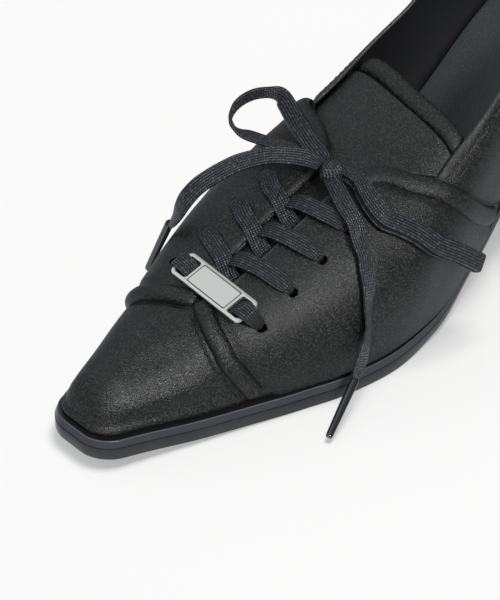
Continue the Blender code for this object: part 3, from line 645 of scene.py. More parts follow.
binding_leather = leather("binding_leather", (0.0008, 0.0008, 0.0008), (0.045, 0.045, 0.043), 0.38, 1.0)
roll_path, roll_face, roll_below = (tongue_skin(ROLL_STATION, ROLL_ACROSS, flat_lift(height))
                                    for height in (-TONGUE_SINK - ROLL_THICK, 0.0, -1.0))
roll_across = np.cross(heading(roll_path), roll_face - roll_below)
roll_run = path_length(roll_path)
turn = full_turn(28)
roll_swell = 1 + 0.05 * pucker(roll_run, 0.4)[:, None] * (0.4 + 0.6 * np.abs(np.cos(turn)))
roll_end = np.sqrt(np.clip(1 - (2 * roll_run / roll_run[-1] - 1) ** 8, 0.02, 1))[:, None]
roll_ring = np.stack((ROLL_HALF * np.cos(turn), ROLL_THICK * np.sin(turn)), -1)
roll_section = roll_ring * (roll_swell * roll_end)[..., None]
tongue_roll = made("tongue_roll", *swept(roll_path, roll_across, roll_section), [binding_leather])
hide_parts("tongue_binding")


# Facings: overlay panels of the same leather on both sides of the slit, with four punched eyelets each.
# Their slit edges are folded and worn pale; a row of stitches holds each fold down.
FACING_LIFT = 1.4
FACING_LOW, FACING_MIDDLE = 0.012, 80.0
EYELETS = (55.5, 68.4, 81.2, 93.4)
EYELET_OFF, EYELET_RADIUS, EYELET_DEEP = 18.4, 1.3, 1.25
FOLD_RADIUS, EDGE_SINK, SUNK_FROM, SUNK_RUN = 0.7, 1.0, 2.4, 4.5


def eyelet_q(side, station):
    """q at which the upper's face lies EYELET_OFF beside the lacing line."""
    spread = np.linspace(0.3, 0.95, 200)
    off = np.abs(face(side, float(place_of(station)), spread)[:, 1] - last(AXIS, station))
    return float(np.interp(EYELET_OFF, off[::-1], spread[::-1]))


# faint bends over the ball of the foot: station, q, reach along, reach in q, height
FACING_DENTS = ((100, 0.42, 5, 0.16, -0.45), (90, 0.36, 5, 0.12, 0.35), (112, 0.33, 5, 0.13, 0.35),
                (122, 0.24, 5, 0.10, -0.4), (64, 0.5, 8, 0.14, 0.25), (76, 0.28, 7, 0.10, -0.3))


def facing_panel(side):
    """Rows of q up the panel, then round the fold at the slit and back under it."""
    top = float(edge_q(side, place_of(FACING_MIDDLE)))
    q = np.linspace(FACING_LOW, top, 132)[:, None]
    share = np.linspace(0, 1, 200)
    front, back = curve(FRONT_EDGE, q), curve(BACK_EDGE, q)
    station = (front + 0.5) * (1 - share) + (back - 0.5) * share
    a = place_of(station)
    beside = np.minimum(station - front, back - station)
    level = np.clip((beside - SUNK_FROM) / SUNK_RUN, 0, 1)
    lift = FACING_LIFT - EDGE_SINK * (1 - level * level * (3 - 2 * level))
    outer = skin(side, a, q, lift + hills(station, q, FACING_DENTS))
    out = normal(side, a, q)
    sunk = np.zeros(a.shape, bool)
    for eyelet in EYELETS:
        middle = skin(side, float(place_of(eyelet)), eyelet_q(side, eyelet), FACING_LIFT)
        away = np.linalg.norm(outer - middle, axis=-1)
        # faces inside the pit, which get the painted shade
        sunk |= away < EYELET_RADIUS
        outer = outer - out * (EYELET_DEEP * np.clip((EYELET_RADIUS + 0.2 - away) / 0.4, 0, 1))[..., None]
    edge_a, edge_level = a[-1], np.full(a.shape[1], top)
    up = unit(edge_rise(side, edge_a, edge_level))
    turns = np.linspace(0, math.pi, 11)[1:]
    fold = [skin(side, edge_a, edge_level, lift[-1] - FOLD_RADIUS * (1 - math.cos(t)))
            + up * (FOLD_RADIUS * math.sin(t)) for t in turns]
    under = [skin(side, a[row], np.full(a.shape[1], q[row, 0]), 0.15) for row in (-12, 0)]
    tall = np.linalg.norm(outer[-1] - outer[-2], axis=-1).mean()
    from_edge = np.arange(len(q) - 1, -1, -1) * tall
    worn = np.concatenate((0.55 * np.exp(-(from_edge / 0.5) ** 2), 0.45 * np.sin(turns) ** 2, (0, 0)))
    points = np.concatenate((outer, fold, under))
    hollow = np.zeros(points.shape[:2], bool)
    hollow[:len(outer)] = sunk
    return points, np.repeat(worn, points.shape[1]), hollow.ravel()


# painted shade: a near-black, dull finish on the faces inside the eyelet pits stands for the shade in the
# punched holes
eyelet_pit_shade = leather("eyelet_pit_shade", (0.0010, 0.0010, 0.0010), (0.0025, 0.0025, 0.0025), 0.7, 0.3, shine=0.02)
for side, word in SIDES:
    panel, worn, hollow = facing_panel(side)
    faces = grid_faces(*panel.shape[:2], wrap_rows=True)
    facing = made(f"facing_panel_{word}", panel, faces, [black_leather, eyelet_pit_shade], marks={"wear": worn},
                  face_finish=hollow[faces].any(axis=1))
    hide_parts(f"facing_{word}")


# Bindings: strips of the same leather rolled over a cord, sewn along the facings' front and back edges.
# They pucker slightly across their length and end rounded off.
BINDING_SUNK, BINDING_PUCKER, BINDING_CAP = 0.35, 0.018, 2.6
BINDINGS = (("front", FRONT_EDGE, (0.045, 0.99), 3.1, 2.6), ("back", BACK_EDGE, (0.055, 0.895), 3.4, 2.4))
# the far back strip stands proud of the upper about here
PROUD_HIGH, PROUD_Q, PROUD_REACH = 2.4, 0.62, 0.10
half_turn = np.linspace(0, math.pi, 19)

for side, word in SIDES:
    for end, edge, span, wide, high in BINDINGS:
        q = np.linspace(*span, 260)
        a = place_of(curve(edge, q))
        proud = PROUD_HIGH * np.exp(-((q - PROUD_Q) / PROUD_REACH) ** 2) * ((end, word) == ("back", "far"))
        path = skin(side, a, q, proud)
        run = path_length(path)
        swell = 1 + BINDING_PUCKER * pucker(run, side + len(end))[:, None] * np.sin(half_turn)
        near_end = np.minimum(run, run[-1] - run)[:, None]
        cap = np.sqrt(np.clip(1 - (1 - np.clip(near_end / BINDING_CAP, 0.03, 1)) ** 2, 0, 1))
        rise = high * np.sin(half_turn) ** 0.7 * swell * cap - BINDING_SUNK
        section = np.stack((wide * np.cos(half_turn) * cap, rise), -1)
        points, faces = swept(path, np.cross(normal(side, a, q), heading(path)), section)
        strip = made(f"rolled_edge_{end}_{word}", points, faces, [binding_leather])
        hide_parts(f"binding_{end}_{word}")


# Stitches: black waxed thread in short, slightly sunken stitches beside the slit and below the collar's edge.
# Each stitch is a small spindle that dips into the leather at both ends.
STITCH_PITCH, STITCH_LONG, STITCH_HALF = 2.3, 1.75, 0.24
STITCH_RISE, STITCH_DIP = 0.20, 0.10
SLIT_STITCHES_IN, COLLAR_STITCHES_LIFT = 0.036, -0.2


def thread_finish():
    """Waxed black thread: twisted plies as fine slanting bump on its own UV."""
    finish, tree, shader = new_finish("waxed_thread")
    wave = add(tree, "TexWave", {"Vector": on_surface(tree), "Scale": 2.2}, bands_direction="DIAGONAL")
    plies = wave.outputs["Fac"]
    colour = blended(tree, plies, (0.010, 0.010, 0.011), (0.032, 0.032, 0.033))
    fill(tree, shader, {"Base Color": colour, "Roughness": 0.42, "Normal": bumped(tree, plies, 0.5, 0.0001)})
    return finish


def read_off(marks, run, rows):
    """Rows of numbers read off at marks along a run."""
    return np.stack([np.interp(marks, run, column) for column in rows.T], -1)


def paired(first, second):
    """Two arrays brought to one grid, as pairs."""
    return np.stack(np.broadcast_arrays(first, second), -1)


def stitch_row(path, out):
    """Spindles along a path, one per pitch; each is thickest in its middle and dips in at its ends."""
    run = path_length(path)
    starts = np.arange(0.5, run[-1] - STITCH_PITCH, STITCH_PITCH)
    t = np.linspace(0, 1, 9)
    marks = starts[:, None] + t * STITCH_LONG
    spine = read_off(marks, run, path)
    lift = unit(read_off(marks, run, out))
    side_way = np.cross(unit(np.gradient(spine, axis=1)), lift)
    arch = np.sin(np.pi * t)
    spine = spine + lift * (STITCH_RISE * arch - STITCH_DIP)[:, None]
    ring = full_turn(8)
    radius = STITCH_HALF * (0.35 + 0.65 * arch ** 0.5)[:, None]
    points = (spine[:, :, None] + side_way[:, :, None] * (radius * np.cos(ring))[..., None]
              + lift[:, :, None] * (radius * np.sin(ring))[..., None])
    body = grid_faces(len(t), len(ring), wrap_columns=True)
    offsets = np.arange(len(starts))[:, None, None] * len(t) * len(ring)
    faces = (body + offsets).reshape(-1, 4).tolist()
    caps = np.stack((np.arange(len(ring)), np.arange(len(ring)) + (len(t) - 1) * len(ring)))
    faces += (caps + offsets).reshape(-1, len(ring)).tolist()
    spindle_uv = paired(ring / math.tau, t[:, None] * STITCH_LONG)
    return points, faces, np.broadcast_to(spindle_uv, points.shape[:-1] + (2,))


thread = thread_finish()


def sewn(name, side, station, q, lift):
    """One row of stitches along (station, q) points of the upper's face."""
    a = place_of(station)
    points, faces, uv = stitch_row(skin(side, a, q, lift), normal(side, a, q))
    made(name, points, faces, [thread], uv=uv, sharp=80)


slit_run = np.linspace(51.0, 103.0, 300)
collar_run = np.linspace(131.0, 236.0, 500)
for side, word in SIDES:
    collar_top = edge_q(side, place_of(collar_run))
    tall = np.linalg.norm(edge_rise(side, place_of(collar_run), collar_top), axis=-1) / EDGE_STEP
    sewn(f"collar_stitches_{word}", side, collar_run, collar_top - COLLAR_BAND / tall, COLLAR_STITCHES_LIFT)
    slit_top = np.full(slit_run.shape, float(edge_q(side, place_of(FACING_MIDDLE))))
    sewn(f"slit_stitches_{word}", side, slit_run, slit_top - SLIT_STITCHES_IN, FACING_LIFT)


# Lace: one flat tubular lace of woven black cotton, six millimetres wide, with lengthwise ribs.
# It starts as a straight bar through the keeper and crosses the slit at the three pairs of eyelets above,
# where it gathers to pass through the punched holes.
LACE_HALF, LACE_THICK, RIBS = 3.0, 1.15, 7
# turns of the yarn's wave for each millimetre along the lace and across a rib, in radians
YARN_ALONG, YARN_ACROSS = 7.5, 7.0
# half ribs added to the place across, so that it stays above zero
RIB_SHIFT = 119


def lace_cotton():
    """Woven cotton on its UV in millimetres: ribs of slanted stitches with painted glints of uneven
    brightness, and painted shade in the grooves between the ribs.
    """
    finish, tree, shader = new_finish("lace_cotton")
    where = on_surface(tree)
    parts = add(tree, "SeparateXYZ", {0: where}).outputs
    half_rib = LACE_HALF / RIBS
    across = reckon(tree, "ADD", parts[0], RIB_SHIFT * half_rib)
    rib = reckon(tree, "PINGPONG", across, half_rib)
    slant = reckon(tree, "MULTIPLY_ADD", parts[1], YARN_ALONG, reckon(tree, "MULTIPLY", rib, YARN_ACROSS))
    yarn = reckon(tree, "MULTIPLY_ADD", reckon(tree, "SINE", slant), 0.5, 0.5)
    column = reckon(tree, "FLOOR", reckon(tree, "DIVIDE", across, 2 * half_rib))
    row = reckon(tree, "FLOOR", reckon(tree, "DIVIDE", slant, math.tau))
    stitch = add(tree, "CombineXYZ", {"X": column, "Y": row}).outputs[0]
    chance = add(tree, "TexWhiteNoise", {"Vector": stitch}).outputs["Value"]
    # patches where the painted glints are stronger
    worn = ranged(tree, noise(tree, where, 0.9, 5.0), 0.30, 0.70)
    spark = reckon(tree, "ADD", reckon(tree, "MULTIPLY", chance, chance), 0.2)
    glint = reckon(tree, "MULTIPLY", spark, reckon(tree, "ADD", worn, 0.3))
    round_rib = reckon(tree, "SMOOTH_MIN", reckon(tree, "MULTIPLY", rib, 3.4), 1.0, 0.5)
    height = reckon(tree, "ADD", reckon(tree, "MULTIPLY", yarn, 0.5), round_rib)
    # painted shade: darker towards the grooves between the ribs
    plain = blended(tree, round_rib, (0.0030, 0.0034, 0.0040), (0.013, 0.015, 0.018))
    # painted glints: pale stitches along the rib tops
    bright = reckon(tree, "MULTIPLY", reckon(tree, "MULTIPLY", yarn, round_rib), glint)
    colour = blended(tree, bright, plain, (0.122, 0.131, 0.144))
    fill(tree, shader, {"Base Color": colour, "Roughness": 0.40, "Normal": bumped(tree, height, 1.0, 0.00022),
                        "Specular IOR Level": 0.5})
    return finish


def smooth_path(keys, step):
    """Catmull-Rom curve through the keys, with points an even step apart."""
    keys = np.asarray(keys, float)
    ends = np.concatenate((2 * keys[:1] - keys[1:2], keys, 2 * keys[-1:] - keys[-2:-1]))
    t = np.linspace(0, 1, 24, endpoint=False)[:, None]
    pieces = []
    for a, b, c, d in zip(ends, ends[1:], ends[2:], ends[3:]):
        pieces.append(0.5 * (2 * b + (c - a) * t + (2 * a - 5 * b + 4 * c - d) * t ** 2
                             + (3 * b - a - 3 * c + d) * t ** 3))
    fine = np.concatenate((*pieces, keys[-1:]))
    run = path_length(fine[:, :3])
    marks = np.linspace(0, run[-1], max(int(run[-1] / step), 6) + 1)
    return read_off(marks, run, fine)


def lace_section(width, thick):
    """Ring of a flat ribbed lace: a rounded slab whose two faces carry half-sine ribs."""
    u = np.linspace(-1, 1, 4 * RIBS + 1)
    edge = (1 - np.abs(u) ** 6) ** 0.5
    rib = 0.88 + 0.12 * np.abs(np.cos(u * RIBS * math.pi / 2))
    height = LACE_THICK / 2 * edge * rib
    sideways = LACE_HALF * np.concatenate((u, u[-2:0:-1]))
    upwards = np.concatenate((height, -height[-2:0:-1]))
    shape = np.stack((width[:, None] * sideways, thick[:, None] * upwards), -1)
    return shape, sideways


def ribbon(keys, step=0.6):
    """Lace along keys of (position, across direction, width share, thickness share): points, faces, UV."""
    line = smooth_path(keys, step)
    section, sideways = lace_section(line[:, 6], line[:, 7])
    points, faces = swept(line[:, :3], line[:, 3:6], section)
    return points, faces, paired(sideways, path_length(line[:, :3])[:, None])


def joined(parts):
    """Several (points, faces, uv) bodies as one."""
    points, faces, uvs, count = [], [], [], 0
    for body, quads, uv in parts:
        faces += [[i + count for i in quad] for quad in quads]
        points.append(body.reshape(-1, 3))
        uvs.append(np.asarray(uv).reshape(-1, 2))
        count += len(points[-1])
    return np.concatenate(points), faces, np.concatenate(uvs)


def on_upper(rows):
    """Lace keys from rows of side, station, q, lift, width share and thickness share.

    The lace lies flat on the upper: its across direction is the face's normal x the path.
    """
    places, outs = [], []
    for side, station, q, lift, *_ in rows:
        a = float(place_of(station))
        places.append(skin(side, a, q, lift))
        outs.append(out_of(side, a, q))
    places = np.array(places)
    across = unit(np.cross(np.array(outs), np.gradient(places, axis=0)))
    shares = np.array([row[4:6] for row in rows])
    return np.column_stack((places, across, shares))


woven = lace_cotton()
for number, station in enumerate(EYELETS[1:], 2):
    near_q, far_q = eyelet_q(-1, station), eyelet_q(1, station)
    over = [(-1, station, near_q + 0.014, -1.6, 0.50, 1.4), (-1, station, near_q + 0.021, 0.7, 0.62, 1.35),
            (-1, station - 0.3, near_q + 0.056, 2.2, 0.90, 1.15),
            (-1, station - 0.7, near_q + 0.105, 2.5, 1, 1.1), (-1, station - 1.2, 0.82, 2.7, 1, 1.1),
            (-1, station - 1.8, 0.90, 3.0, 1, 1.1), (-1, station - 2.4, 0.97, 3.2, 1, 1.1),
            (1, station - 3.0, 0.975, 2.3, 1, 1.1), (1, station - 3.2, 0.93, 0.2, 0.95, 1),
            (1, station - 3.2, 0.88, -1.7, 0.9, 1)]
    under = [(1, station + 0.3, far_q - 0.014, -1.4, 0.55, 1.4),
             (1, station + 0.1, far_q - 0.008, 1.0, 0.66, 1.35),
             (1, station - 0.6, far_q + 0.022, 2.3, 0.84, 1.2),
             (1, station - 1.6, far_q + 0.070, 2.6, 0.96, 1.1), (1, station - 3.0, 0.82, 2.5, 1, 1.1),
             (1, station - 4.5, 0.89, 2.1, 1, 1.1), (1, station - 6.0, 0.945, 0.8, 1, 1),
             (1, station - 7.2, 0.985, -0.7, 0.95, 1), (-1, station - 8.2, 0.95, -1.7, 0.9, 1)]
    points, faces, uv = joined([ribbon(on_upper(over)), ribbon(on_upper(under))])
    cross = made(f"lace_strands_{number}", points, faces, [woven], uv=uv, sharp=70)
    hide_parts(f"lace_cross_{number}")


# Keeper: a stamped steel plate threaded on the first bar, its ends cut out for the lace.
# It is polished with a fine brush, has rounded edges, and a shallow frame is pressed round its bare middle.
TAG_HALF_LONG, TAG_HALF_WIDE, TAG_THICK = 15.8, 4.8, 1.1
TAG_WINDOW_IN, TAG_BAR, TAG_EDGE = 9.6, 1.3, 0.3
TAG_FRAME_LONG, TAG_FRAME_WIDE, TAG_FRAME_DEEP = 8.7, 3.9, 0.25
TAG_STATION, TAG_ASIDE, TAG_LIFT, TAG_TURN = 53.4, -2.1, 2.75, math.radians(3.5)


def keeper_steel():
    """Brushed steel: fine scratches, uneven polish, a faint warm tarnish and a dark pressed line."""
    finish, tree, shader = new_finish("keeper_steel")
    where = on_surface(tree)
    drawn = add(tree, "Mapping", {"Vector": where, "Scale": (0.4, 9.0, 1.0)}).outputs[0]
    scratch = noise(tree, drawn, 2.0, 5.0)
    cloud = noise(tree, where, 0.35, 3.0)
    colour = blended(tree, cloud, (0.77, 0.745, 0.705), (0.87, 0.845, 0.80))
    colour = blended(tree, marked(tree, "engraved"), colour, (0.21, 0.20, 0.185))
    fill(tree, shader, {"Base Color": colour, "Roughness": reckon(tree, "MULTIPLY_ADD", cloud, 0.22, 0.26),
                        "Normal": bumped(tree, scratch, 0.12, 0.00008), "Metallic": 1.0})
    return finish


def rounded(middle, half_long, half_wide, radius):
    """Loop of a rectangle with round corners."""
    quarter = np.linspace(0, math.pi / 2, 7)
    corner = []
    for k, (su, sv) in enumerate(((1, 1), (-1, 1), (-1, -1), (1, -1))):
        angle = quarter + k * math.pi / 2
        corner.append(np.column_stack((middle + su * (half_long - radius) + radius * np.cos(angle),
                                       sv * (half_wide - radius) + radius * np.sin(angle))))
    return np.concatenate(corner)


tag_place = float(place_of(TAG_STATION))
tag_middle = skin(-1, tag_place, 1.0, TAG_LIFT) + (0.0, TAG_ASIDE, 0.0)
tag_out = out_of(-1, tag_place, 1.0)
tag_level = np.cross((0.0, 1.0, 0.0), tag_out)
tag_across = np.array((0.0, math.cos(TAG_TURN), 0.0)) + tag_level * math.sin(TAG_TURN)
tag_along = np.cross(tag_across, tag_out)
window_middle = (TAG_HALF_LONG - TAG_BAR + TAG_WINDOW_IN) / 2
window_half = (TAG_HALF_LONG - TAG_BAR - TAG_WINDOW_IN) / 2
tag_points, tag_faces = [], []


def tag_loop(loop, height):
    """Adds a loop of plate points at a height and returns their numbers."""
    start = len(tag_points)
    tag_points.extend(np.column_stack((loop, np.full(len(loop), height))).tolist())
    return np.arange(start, start + len(loop))


def tag_wall(loops):
    """Quads between loops of equal length."""
    for low, high in zip(loops, loops[1:]):
        tag_faces.extend(np.stack((low, np.roll(low, -1), np.roll(high, -1), high), -1).tolist())


def tag_fill(*loops):
    """Flat face with holes."""
    numbers = np.concatenate(loops)
    lines = [[Vector((tag_points[i][0], tag_points[i][1], 0)) for i in loop] for loop in loops]
    tag_faces.extend([[int(numbers[i]) for i in corner] for corner in tessellate_polygon(lines)])


sides = ((0.15, 0.0), (0.0, 0.2), (0.0, TAG_THICK - TAG_EDGE), (0.3 * TAG_EDGE, TAG_THICK - 0.3 * TAG_EDGE),
         (TAG_EDGE, TAG_THICK))
edge = [tag_loop(rounded(0, TAG_HALF_LONG - d, TAG_HALF_WIDE - d, 2.0 - d), z) for d, z in sides]
windows = [[tag_loop(rounded(c, window_half + d, TAG_HALF_WIDE - TAG_BAR + d, 0.9 + d), z) for d, z in sides]
           for c in (-window_middle, window_middle)]
frame_lines = [tag_loop(rounded(0, TAG_FRAME_LONG - d, TAG_FRAME_WIDE - d, 0.5), TAG_THICK - z)
               for d, z in ((0, 0), (0.10, TAG_FRAME_DEEP), (0.32, TAG_FRAME_DEEP), (0.42, 0))]
for loops in (edge, *windows, frame_lines):
    tag_wall(loops)
tag_fill(edge[0], windows[0][0], windows[1][0])
tag_fill(edge[-1], windows[0][-1], windows[1][-1], frame_lines[0])
tag_fill(frame_lines[-1])
plate = np.array(tag_points)
engraved = np.zeros(len(plate))
engraved[np.concatenate(frame_lines[1:3])] = 1.0
plate_points = tag_middle + plate[:, :1] * tag_across + plate[:, 1:2] * tag_along + plate[:, 2:] * tag_out
keeper = made("lace_keeper", plate_points, tag_faces, [keeper_steel()], uv=plate[:, :2],
              marks={"engraved": engraved}, sharp=30)
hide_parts("lace_tag")

# The first bar comes up out of its two eyelets, over the plate's end bars, down its windows
# and under its middle. A row is the distance from the plate's middle and the height above its underside.
BAR_ROUTE = ((16.9, 0.9), (15.1, 1.75), (12.8, 1.1), (10.4, -0.45), (7.5, -0.7), (3.5, -0.7))
half_bars = []
for side in (-1, 1):
    q = eyelet_q(side, EYELETS[0])
    a = float(place_of(EYELETS[0]))
    route = [skin(side, a, q + 0.010, -1.6), skin(side, a, q + 0.018, 0.6)]
    route += [tag_middle + tag_across * side * u + tag_out * h for u, h in BAR_ROUTE]
    half_bars.append(route)
bar_line = np.array(half_bars[0] + half_bars[1][::-1])
bar_keys = np.column_stack((bar_line, np.tile(tag_along, (len(bar_line), 1)), np.ones((len(bar_line), 2))))
bar_keys[[0, 1, 2, -3, -2, -1], 6] = 0.55, 0.66, 0.9, 0.9, 0.66, 0.55
bar_keys[[0, 1, -2, -1], 7] = 1.4
points, faces, uv = ribbon(bar_keys)
bar = made("lace_first_bar", points, faces, [woven], uv=uv, sharp=70)
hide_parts("lace_bar")


# Bow: the lace's two ends tied over the slit, with a folded loop and a loose end to each side.
# One loop lies flat and double on the near side; the other stands on edge beyond the slit.
KNOT = np.array((101.6, -7.0, 56.4))
KNOT_AXIS = np.array((0.72, -0.69, 0.05))
KNOT_LONG, KNOT_DEEP, KNOT_TALL = 3.7, 3.7, 3.2
LAYER, LAYER_ASIDE, LAYER_THICK = 1.1, 0.35, 1.5
# side, station, q and lift of the strands that lie on the near side
LOOP_NEAR = ((-1, 104.6, 0.935, 5.4), (-1, 105.3, 0.874, 5.4), (-1, 105.9, 0.80, 4.8),
             (-1, 104.1, 0.724, 4.4), (-1, 102.9, 0.658, 4.2), (-1, 102.9, 0.60, 4.2),
             (-1, 105.3, 0.554, 4.2), (-1, 109.0, 0.487, 4.4), (-1, 113.3, 0.408, 5.2),
             (-1, 119.4, 0.341, 6.6), (-1, 126.2, 0.25, 9.0))
END_NEAR = ((-1, 101.4, 0.94, 5.2), (-1, 100.5, 0.878, 5.2), (-1, 96.8, 0.749, 5.0), (-1, 95.0, 0.67, 4.7),
            (-1, 92.6, 0.612, 4.3), (-1, 91.4, 0.55, 3.3), (-1, 89.7, 0.504, 3.0), (-1, 87.9, 0.441, 3.0),
            (-1, 86.1, 0.375, 3.0), (-1, 84.9, 0.287, 3.0), (-1, 83.2, 0.196, 3.6), (-1, 80.8, 0.121, 5.0),
            (-1, 78.0, 0.075, 7.0))
# places of the strands beyond the slit
LOOP_FAR = ((101.8, -4.3, 57.6), (102.6, -1.3, 58.2), (104.1, 4.6, 59.2), (107.0, 12.7, 60.2),
            (109.6, 18.8, 61.0), (111.7, 23.7, 61.6), (112.6, 27.2, 61.8), (111.1, 30.2, 61.8),
            (107.6, 32.8, 61.6), (103.4, 33.9, 61.0), (99.1, 33.4, 60.2), (95.6, 31.4, 59.2),
            (94.0, 28.6, 58.6), (93.9, 26.3, 58.2), (94.6, 22.9, 57.9), (96.4, 17.8, 57.6),
            (98.8, 12.3, 57.4), (100.8, 6.5, 57.2), (101.4, 1.4, 57.0), (101.2, -2.6, 56.6))
# share of the far loop's keys and the direction across the lace there: flat to the front, on edge, level
LOOP_FAR_TURNS = np.array(((0.0, 0.84, -0.25, 0.47), (0.24, 0.84, -0.25, 0.47), (0.36, -0.24, -0.25, 0.94),
                           (0.52, -0.24, -0.25, 0.94), (0.63, -0.50, -0.52, 0.69), (0.74, -0.69, -0.72, 0.1),
                           (1.0, -0.69, -0.72, 0.1)))
END_FAR = ((99.0, -4.4, 58.4), (97.9, -0.7, 59.6), (94.7, 3.8, 60.0), (89.9, 9.3, 59.6), (83.0, 13.6, 58.6),
           (78.1, 15.5, 57.4), (73.9, 17.3, 55.6), (69.9, 19.3, 52.8), (67.0, 21.2, 48.6), (66.1, 23.4, 43.4),
           (66.5, 26.3, 38.2), (67.3, 28.4, 34.5))
END_FAR_FACE = np.array((-0.30, -0.30, 0.90))
AGLETS = {"near": ((76.5, -43.05, 10.5), (58.9, -49.3, 2.0)), "far": ((68.1, 29.9, 34.0), (64.3, 36.9, 13.0))}
AGLET_RADIUS, AGLET_LONG = 1.4, 22.0

knot_axis = unit(KNOT_AXIS)
knot_side = unit(np.cross((0, 0, 1), knot_axis))
knot_up = np.cross(knot_axis, knot_side)
share = np.linspace(-1, 1, 57)[:, None]
turn = full_turn(64)
barrel = (1 - np.abs(share) ** 5) ** 0.5 * 0.62 + 0.38 * (1 - np.abs(share) ** 12)
barrel = np.maximum(barrel, 0.2)
knot_points = (KNOT + knot_axis * (KNOT_LONG * (share + 0.035 * np.sin(turn)))[..., None]
               + knot_side * (KNOT_DEEP * barrel * np.cos(turn))[..., None]
               + knot_up * (KNOT_TALL * barrel * np.sin(turn))[..., None])
knot_uv = paired(share * LACE_HALF + 1.6 * np.cos(turn), turn * 3.4)
points, faces = stack(knot_points)
knot = made("bow_knot", points, faces, [woven], uv=knot_uv, sharp=70)
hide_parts("lace_knot")


def bow_strand(name, node, keys):
    """A free strand of the bow, made as a ribbon along its keys in place of the part named node."""
    points, faces, uv = ribbon(keys)
    strand = made(name, points, faces, [woven], uv=uv, sharp=70)
    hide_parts(node)


def aglet_plastic():
    """Black plastic film shrunk round the lace end: glossy, with faint ripples along it."""
    finish, tree, shader = new_finish("aglet_plastic")
    ripple = noise(tree, on_surface(tree), 0.9, 3.0)
    colour = blended(tree, ripple, (0.006, 0.006, 0.007), (0.020, 0.020, 0.022))
    fill(tree, shader, {"Base Color": colour, "Roughness": 0.10, "IOR": 1.8,
                        "Normal": bumped(tree, ripple, 0.2, 0.0002)})
    return finish


shrunk_film = aglet_plastic()
for word, (start, end) in AGLETS.items():
    t = np.linspace(0, 1, 60)[:, None]
    line = np.array(start) * (1 - t) + np.array(end) * t
    ring = full_turn(32)
    taper = 1 - 0.22 * t ** 1.5
    taper[:3] *= np.array(((0.80,), (0.94,), (1.0,)))
    taper[-3:] *= np.array(((1.0,), (0.93,), (0.78,)))
    section = np.stack((AGLET_RADIUS * taper * np.cos(ring), AGLET_RADIUS * 0.9 * taper * np.sin(ring)), -1)
    points, faces = swept(line, np.tile((0.0, 1.0, 0.3), (len(line), 1)), section)
    uv = paired(ring * AGLET_RADIUS, t * AGLET_LONG)
    made(f"aglet_tip_{word}", points, faces, [shrunk_film], uv=uv, sharp=60)
    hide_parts(f"aglet_{word}")

layers = on_upper([(*row, 1, LAYER_THICK) for row in LOOP_NEAR])
layers[:4, 6] = 0.5, 0.6, 0.75, 0.92
loop_along = heading(layers[:, :3])
loop_out = np.cross(loop_along, layers[:, 3:6])
part = loop_out * LAYER + layers[:, 3:6] * LAYER_ASIDE
upper_layer, lower_layer = layers.copy(), layers[::-1].copy()
upper_layer[:, :3] += part
lower_layer[:, :3] -= part[::-1]
angle = np.array((0.25, 0.5, 0.75))[:, None] * math.pi
fold = np.repeat(layers[-1:], 3, axis=0)
fold[:, :3] += loop_along[-1] * LAYER * np.sin(angle) + part[-1] * np.cos(angle)
near_keys = np.concatenate((upper_layer, fold, lower_layer))
bow_strand("bow_loop_near", "lace_loop_near", near_keys)

far_line = np.array(LOOP_FAR)
far_share = np.linspace(0, 1, len(far_line))
far_across = read_off(far_share, LOOP_FAR_TURNS[:, 0], LOOP_FAR_TURNS[:, 1:])
far_keys = np.column_stack((far_line, unit(far_across), np.ones((len(far_line), 2))))
far_keys[[0, -1], 6] = 0.6
bow_strand("bow_loop_far", "lace_loop_far", far_keys)

end_keys = on_upper([(*row, 1, 1) for row in END_NEAR])
end_out = unit(np.cross(np.gradient(end_keys[:, :3], axis=0), end_keys[:, 3:6]))
twist = np.radians((0, 0, -8, -18, -20, -20, -20, -26, -36, -44, -25, -5, 0))[:, None]
end_keys[:, 3:6] = end_keys[:, 3:6] * np.cos(twist) + end_out * np.sin(twist)
end_keys[:, 6] = (0.6, 0.9, 1, 1, 1, 1, 1, 1, 1, 1, 1, 0.95, 0.78)
end_keys = np.concatenate((end_keys, end_keys[-1:]))
end_keys[-1, :3] = AGLETS["near"][0]
end_keys[-1, 6:] = 0.45, 1.6
bow_strand("bow_end_near", "lace_end_near", end_keys)

far_end = np.array(END_FAR)
far_end_across = np.cross(np.gradient(far_end, axis=0), END_FAR_FACE)
far_end_keys = np.column_stack((far_end, unit(far_end_across), np.ones((len(far_end), 2))))
far_end_keys[0, 6] = 0.6
far_end_keys[-1, 6:] = 0.42, 1.6
bow_strand("bow_end_far", "lace_end_far", far_end_keys)


# Studio: a plain pale floor that glows a little and has a light of its own above it, a surround that is
# bright above and dim behind the shoe, and a soft light from the near side that leaves the floor out.
# The camera stands in front of the toe on the outer side and looks down along the shoe.
FLOOR_HALF = 3.0
floor_finish, floor_tree, floor_shader = new_finish("studio_floor")
fill(floor_tree, floor_shader, {"Base Color": (0.37, 0.36, 0.355, 1), "Roughness": 0.75,
                                "Emission Color": (1.0, 1.0, 1.0, 1), "Emission Strength": 0.40})
floor_mesh = bpy.data.meshes.new("studio_floor")
floor_corners = [(x * FLOOR_HALF, y * FLOOR_HALF, 0) for x, y in ((-1, -1), (1, -1), (1, 1), (-1, 1))]
floor_mesh.from_pydata(floor_corners, [], [(0, 1, 2, 3)])
floor_mesh.materials.append(floor_finish)
floor = bpy.data.objects.new("studio_floor", floor_mesh)
bpy.context.scene.collection.objects.link(floor)
floor.visible_glossy = False

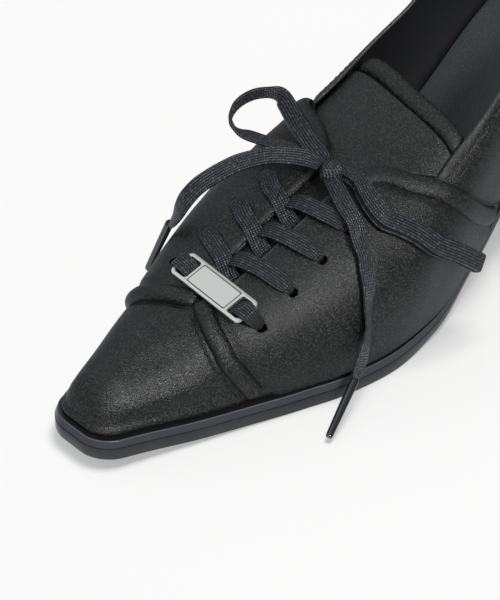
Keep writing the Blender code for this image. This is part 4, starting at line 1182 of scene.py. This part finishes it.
world = bpy.data.worlds.new("studio_surround")
world.use_nodes = True
surround = world.node_tree
toward = add(surround, "SeparateXYZ", {0: add(surround, "TexCoord").outputs["Generated"]}).outputs
height = add(surround, "ValToRGB", {0: ranged(surround, toward[2], -1.0, 1.0)})
for element in height.color_ramp.elements:
    element.color = (0.9, 0.9, 0.9, 1)
for stop, tone in ((0.25, 0.9), (0.38, 0.40), (0.46, 0.16), (0.54, 0.20), (0.74, 0.73)):
    height.color_ramp.elements.new(stop).color = (tone, tone, tone, 1)
rear = ranged(surround, reckon(surround, "SUBTRACT", toward[0], toward[1]), -0.45, 0.5, 1.0, 0.25)
below = ranged(surround, toward[2], 0.0, -0.6, 0.25, 0.8)
glow = reckon(surround, "MULTIPLY", height.outputs[0], reckon(surround, "MAXIMUM", rear, below))
fill(surround, surround.nodes["Background"], {"Color": (0.90, 0.97, 1.0, 1), "Strength": glow})
bpy.context.scene.world = world


def soft_light(name, place, target, size, power, spread, on_floor):
    """Oblong area light turned towards a target, which lights either all but the floor or the floor alone."""
    lamp = bpy.data.lights.new(name, "AREA")
    lamp.shape = "RECTANGLE"
    lamp.size, lamp.size_y = size
    lamp.energy = power
    lamp.spread = math.radians(spread)
    new = bpy.data.objects.new(name, lamp)
    bpy.context.scene.collection.objects.link(new)
    new.location = place
    new.rotation_euler = (Vector(target) - Vector(place)).to_track_quat("-Z", "Y").to_euler()
    receivers = bpy.data.collections.new(name + "_receivers")
    receivers.objects.link(floor)
    receivers.collection_objects[0].light_linking.link_state = "INCLUDE" if on_floor else "EXCLUDE"
    new.light_linking.receiver_collection = receivers


soft_light("side_light", (-0.36, -0.72, 0.66), (-0.130, -0.014, 0.02), (0.8, 0.4), 0.84, 17, False)
soft_light("floor_light", (0.18, -0.12, 1.5), (-0.02, 0.0, 0.0), (0.6, 0.6), 25.7, 180, True)

CAMERA_PLACE = (-0.4682, -0.4319, 0.5323)
CAMERA_RIGHT = (0.7193, -0.6947, 0.0)
CAMERA_UP = (0.4511, 0.4671, 0.7604)
CAMERA_LENS, CAMERA_SENSOR = 153.56, 36.0
camera_data = bpy.data.cameras.new("camera")
camera_data.sensor_fit = "VERTICAL"
camera_data.sensor_height = CAMERA_SENSOR
camera_data.lens = CAMERA_LENS
camera = bpy.data.objects.new("camera", camera_data)
bpy.context.scene.collection.objects.link(camera)
right, up = Vector(CAMERA_RIGHT), Vector(CAMERA_UP)
camera.matrix_world = Matrix.LocRotScale(
    Vector(CAMERA_PLACE), Matrix((right, up, right.cross(up))).transposed().to_quaternion(), None)
bpy.context.scene.camera = camera
bpy.context.scene.view_settings.view_transform = "Standard"

bpy.context.view_layer.update()
